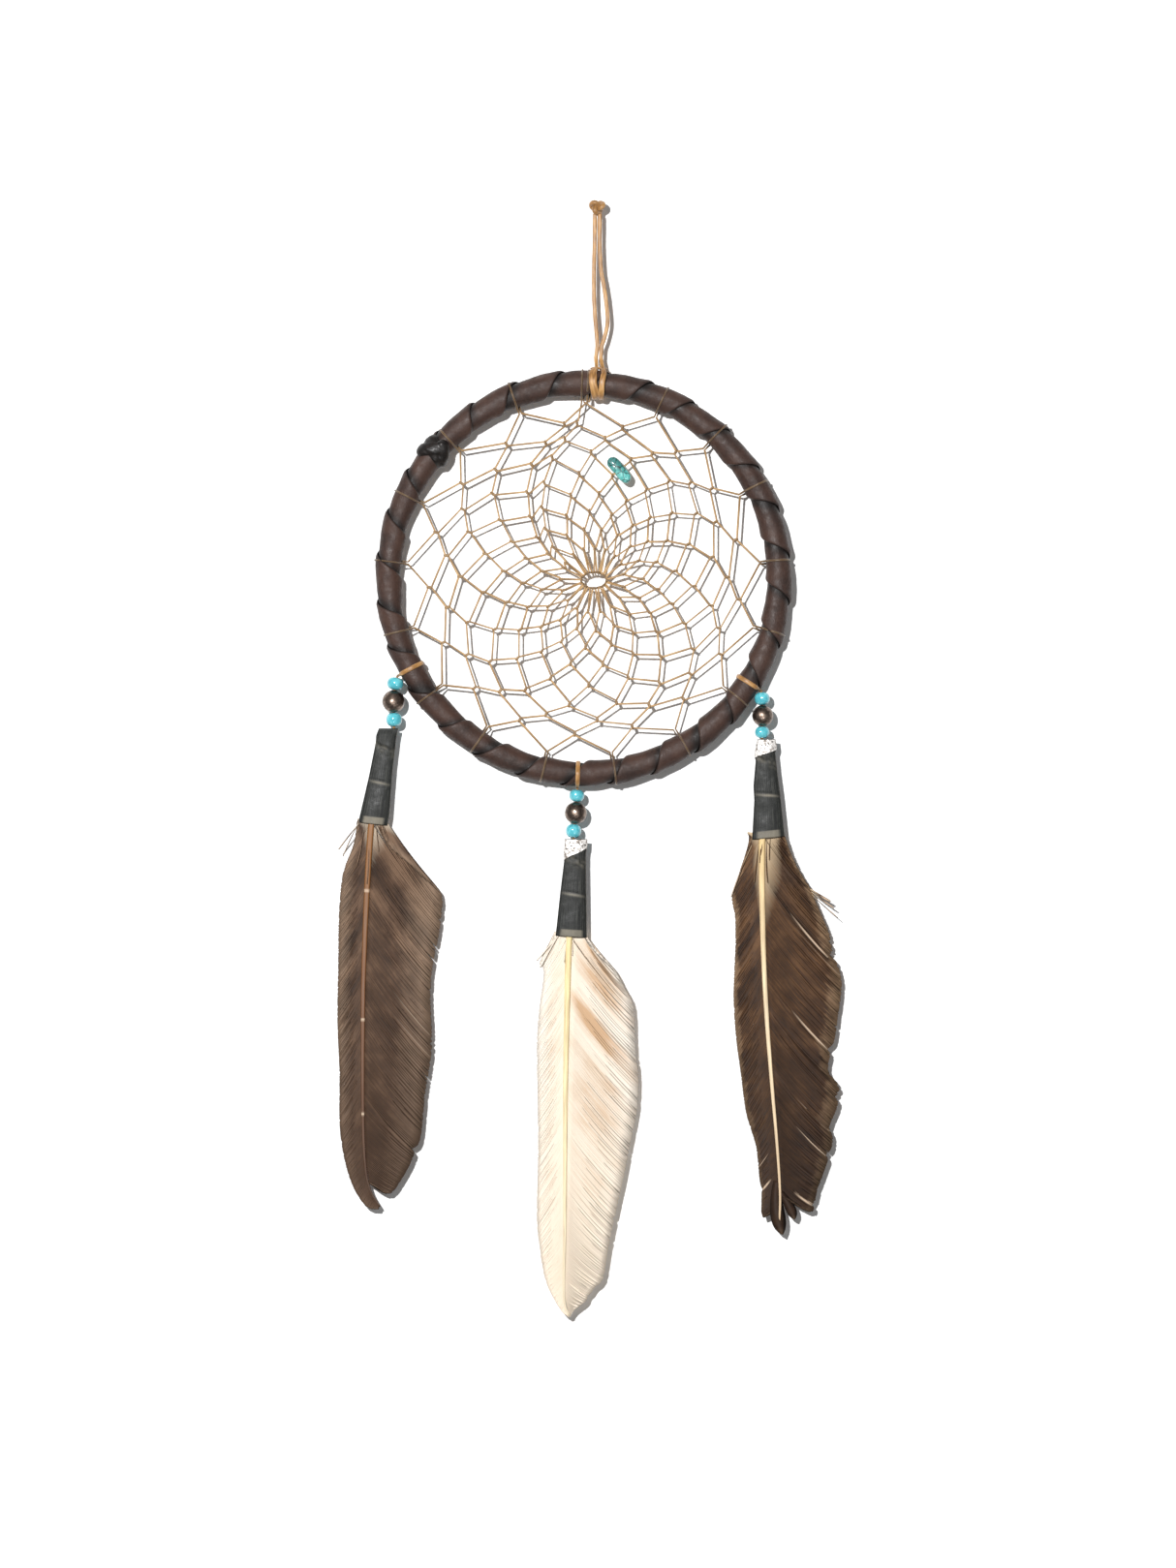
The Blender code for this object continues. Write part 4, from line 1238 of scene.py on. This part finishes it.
# A lag is how much higher a barb's root is than its end, in widths of the vane. It lessens near the tip.
# Splits are shares of the way along a vane's edge. Strays and buds are (start, end, bow, width).
FEATHERS = {
    "left": {
        "slot": "feather_brown",
        "barbs": 330, "left_lag": 1.7, "right_lag": 1.25, "bow": 0.05, "width": 0.95,
        "bands": 16, "left_band_depth": 0.5, "right_band_depth": 0.55, "left_upper_light": 0.0,
        "right_upper_light": 0.3, "darker": 0.1, "pale": 0.45, "down": 4, "buds": [],
        "left_splits": [], "right_splits": [0.82],
        "strays": [((-5, 0), (-12.4, 9.5), 0.02, 0.5), ((-4.8, -1), (-10.8, 12), 0.02, 0.4)],
        "palette": {
            "dark": (52, 37, 27), "middle": (76, 56, 42), "light": (114, 89, 70),
            "unevenness": 1.1, "inner_bands": 0.55,
            "rim": ((0.5, 0.0), (1.0, 0.55)), "edge": (158, 134, 113), "low": (70, 51, 38),
            "root_fade": ((0.0, 0.9), (0.05, 0.5), (0.12, 0.0)), "root": (200, 186, 166),
            "root_narrows": 0.25, "wisp": (206, 186, 162),
        },
        "quill": ((138, 92, 48), (108, 68, 38), (50, 33, 24)), "rings": (0.17, 0.505, 0.75),
    },
    "bottom": {
        "slot": "feather_cream",
        "barbs": 330, "left_lag": 1.7, "right_lag": 1.15, "bow": 0.05, "width": 0.95,
        "bands": 15, "left_band_depth": 0.05, "right_band_depth": 0.9, "left_upper_light": 0.0,
        "right_upper_light": 0.0, "darker": 0.2, "pale": 0.5, "down": 3, "buds": [],
        "left_splits": [0.07], "right_splits": [0.93],
        "strays": [((-5, 0), (-12.8, 8.8), 0.02, 0.7), ((-4.6, -1), (-11.6, 11.4), 0.02, 0.8)],
        "palette": {
            "dark": (196, 162, 128), "middle": (228, 215, 198), "light": (235, 224, 209),
            "unevenness": 0.3, "inner_bands": 0.06,
            "rim": ((0.6, 0.0), (0.98, 0.7)), "edge": (240, 231, 219), "low": (231, 214, 192),
            "root_fade": ((0.0, 0.6), (0.05, 0.35), (0.12, 0.0)), "root": (230, 218, 202),
            "root_narrows": 0.3, "wisp": (232, 223, 213),
        },
        "quill": ((240, 218, 162), (241, 223, 176), (236, 223, 196)), "rings": (),
    },
    "right": {
        "slot": "feather_dark",
        "barbs": 340, "left_lag": 1.6, "right_lag": 1.2, "bow": 0.05, "width": 0.95,
        "bands": 18, "left_band_depth": 0.5, "right_band_depth": 0.4, "left_upper_light": 0.0,
        "right_upper_light": 0.0, "darker": 0.0, "pale": 0.7, "down": 6,
        "buds": [((3.4, 126), (5.4, 145.8), 0.12, 5.2), ((4.4, 130), (9.8, 140.2), -0.1, 3.6)],
        "left_splits": [0.88], "right_splits": [0.3, 0.52, 0.64, 0.78, 0.9],
        "strays": [((15.5, 19), (22.9, 23.6), 0.03, 0.8), ((15.8, 20), (24.2, 26), 0.02, 0.5),
                   ((16, 21), (25.6, 29.5), 0.02, 0.3), ((-6, 3), (-13.6, 22), 0.03, 0.4)],
        "palette": {
            "dark": (44, 29, 19), "middle": (70, 47, 29), "light": (100, 71, 46),
            "unevenness": 1.2, "inner_bands": 0.55,
            "rim": ((0.84, 0.0), (1.0, 0.6)), "edge": (172, 142, 112), "low": (38, 26, 19),
            "root_fade": ((0.0, 0.9), (0.09, 0.6), (0.26, 0.0)), "root": (212, 188, 154),
            "root_narrows": 0.5, "wisp": (216, 190, 164),
        },
        "quill": ((228, 198, 142), (240, 218, 182), (222, 194, 158)), "rings": (),
    },
}


def make_feather(looks, side, spec):
    style = FEATHERS[side]
    dice = random.Random("feather " + side)
    for vane, sign in (("left", -1), ("right", 1)):
        shape = Shape()
        make_vane(shape, spec, style, vane, sign, dice)
        piece = shape.piece(side + "_" + vane + "_barbs", looks[side + "_feather"], side + "_feather")
        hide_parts(side + "_" + vane + "_vane")
    shape = Shape()
    add_wisps(shape, spec, style, dice)
    piece = shape.piece(side + "_down", looks[side + "_feather"], side + "_feather")
    make_quill(looks, side, spec)


def make_looks():
    looks = {
        "leather": leather_look(),
        "knot": knot_leather_look(),
        "stone": stone_look(),
        "glass": glass_look(),
        "bronze": bronze_look(),
        "tape": tape_look(),
        "foil": foil_look(),
        "cane": cane_look(),
        "sinew": cord_look("sinew", (138, 100, 56), (180, 141, 90), (214, 178, 126), (56, 39, 24)),
        "lace": cord_look("lace", (112, 76, 36), (166, 120, 66), (208, 164, 104), (76, 48, 24), fibre=0.8),
    }
    for side, style in FEATHERS.items():
        looks[side + "_feather"] = feather_look(side + "_barb", style["palette"])
        looks[side + "_quill"] = quill_look(side + "_shaft", *style["quill"], style["rings"])
    return looks


# Studio


def make_wall():
    """A pale wall just behind the object. Only its front is seen, and it casts no shadow."""
    shape = bpy.data.meshes.new("wall")
    far, back = 2.5, 0.0072
    corners = [(-far, back, -far), (far, back, -far), (far, back, far), (-far, back, far)]
    shape.from_pydata(corners, [], [(0, 1, 2, 3)])
    wall = add_object("wall", shape)
    material = bpy.data.materials.new("wall")
    material.use_nodes = True
    nodes, links = material.node_tree.nodes, material.node_tree.links
    nodes.clear()
    white = nodes.new("ShaderNodeBsdfDiffuse")
    white.inputs["Color"].default_value = (0.92, 0.92, 0.92, 1.0)
    clear = nodes.new("ShaderNodeBsdfTransparent")
    side, path = nodes.new("ShaderNodeNewGeometry"), nodes.new("ShaderNodeLightPath")
    either = nodes.new("ShaderNodeMath")
    either.operation = "MAXIMUM"
    mix, output = nodes.new("ShaderNodeMixShader"), nodes.new("ShaderNodeOutputMaterial")
    links.new(side.outputs["Backfacing"], either.inputs[0])
    links.new(path.outputs["Is Shadow Ray"], either.inputs[1])
    links.new(either.outputs[0], mix.inputs["Fac"])
    links.new(white.outputs[0], mix.inputs[1])
    links.new(clear.outputs[0], mix.inputs[2])
    links.new(mix.outputs[0], output.inputs["Surface"])
    shape.materials.append(material)


def make_world():
    """Even pale light all round. The camera sees it paler than it shines."""
    world = bpy.data.worlds.new("studio")
    bpy.context.scene.world = world
    world.use_nodes = True
    nodes, links = world.node_tree.nodes, world.node_tree.links
    nodes.clear()
    glow, seen = nodes.new("ShaderNodeBackground"), nodes.new("ShaderNodeBackground")
    glow.inputs["Color"].default_value = (1.0, 1.0, 1.0, 1.0)
    glow.inputs["Strength"].default_value = 0.2
    seen.inputs["Color"].default_value = (0.9, 0.9, 0.9, 1.0)
    seen.inputs["Strength"].default_value = 1.0
    path, mix = nodes.new("ShaderNodeLightPath"), nodes.new("ShaderNodeMixShader")
    output = nodes.new("ShaderNodeOutputWorld")
    links.new(path.outputs["Is Camera Ray"], mix.inputs["Fac"])
    links.new(glow.outputs[0], mix.inputs[1])
    links.new(seen.outputs[0], mix.inputs[2])
    links.new(mix.outputs[0], output.inputs["Surface"])


def make_lamp(name, where, aim, size, power, diffuse=True, gloss=True):
    data = bpy.data.lights.new(name, "AREA")
    data.shape = "DISK"
    data.size = size
    data.energy = power
    lamp = add_object(name, data)
    lamp.location = where
    lamp.rotation_euler = (aim - where).to_track_quat("-Z", "Y").to_euler()
    lamp.visible_diffuse = diffuse
    lamp.visible_glossy = gloss


def make_studio():
    aim = Vector((-0.0032, 0, -0.2071))
    make_wall()
    make_world()
    make_lamp("key", aim + Vector((-0.34, -1.5, 0.36)), aim, 0.07, 33)
    make_lamp("front_fill", aim + Vector((0.5, -1.7, -0.1)), aim, 1.0, 1.4)
    make_lamp("sparkle_left", aim + Vector((-0.12, -1.5, -0.75)), aim, 0.12, 3, diffuse=False)
    make_lamp("sparkle_right", aim + Vector((0.34, -1.5, -0.62)), aim, 0.12, 3, diffuse=False)
    make_lamp("back_fill", aim + Vector((-0.6, 1.6, 0.7)), aim, 1.2, 14)
    data = bpy.data.cameras.new("camera")
    data.lens = 120
    camera = add_object("camera", data)
    camera.location = aim + Vector((0, -1.9157, 0))
    camera.rotation_euler = (math.pi / 2, 0, 0)
    bpy.context.scene.camera = camera
    bpy.context.scene.view_settings.view_transform = "Standard"


def main():
    looks = make_looks()
    make_studio()
    make_lace(looks)
    frame["nodes"]["inner_hoop"].data.materials.clear()
    frame["nodes"]["inner_hoop"].data.materials.append(looks["cane"])
    make_leather(looks)
    make_end_knot(looks)
    make_net(looks)
    make_chip(looks)
    for side, spec in PENDANTS.items():
        make_band(looks, side, spec)
        make_string(looks, side)
        for n in range(len(BEADS)):
            make_bead(looks, side, n, spec)
        make_sleeve(looks, side, spec)
        make_feather(looks, side, spec)
    make_foil(looks, "bottom", PENDANTS["bottom"], 0.22, 0.09)
    make_foil(looks, "right", PENDANTS["right"], 0.19, 0.11)


main()
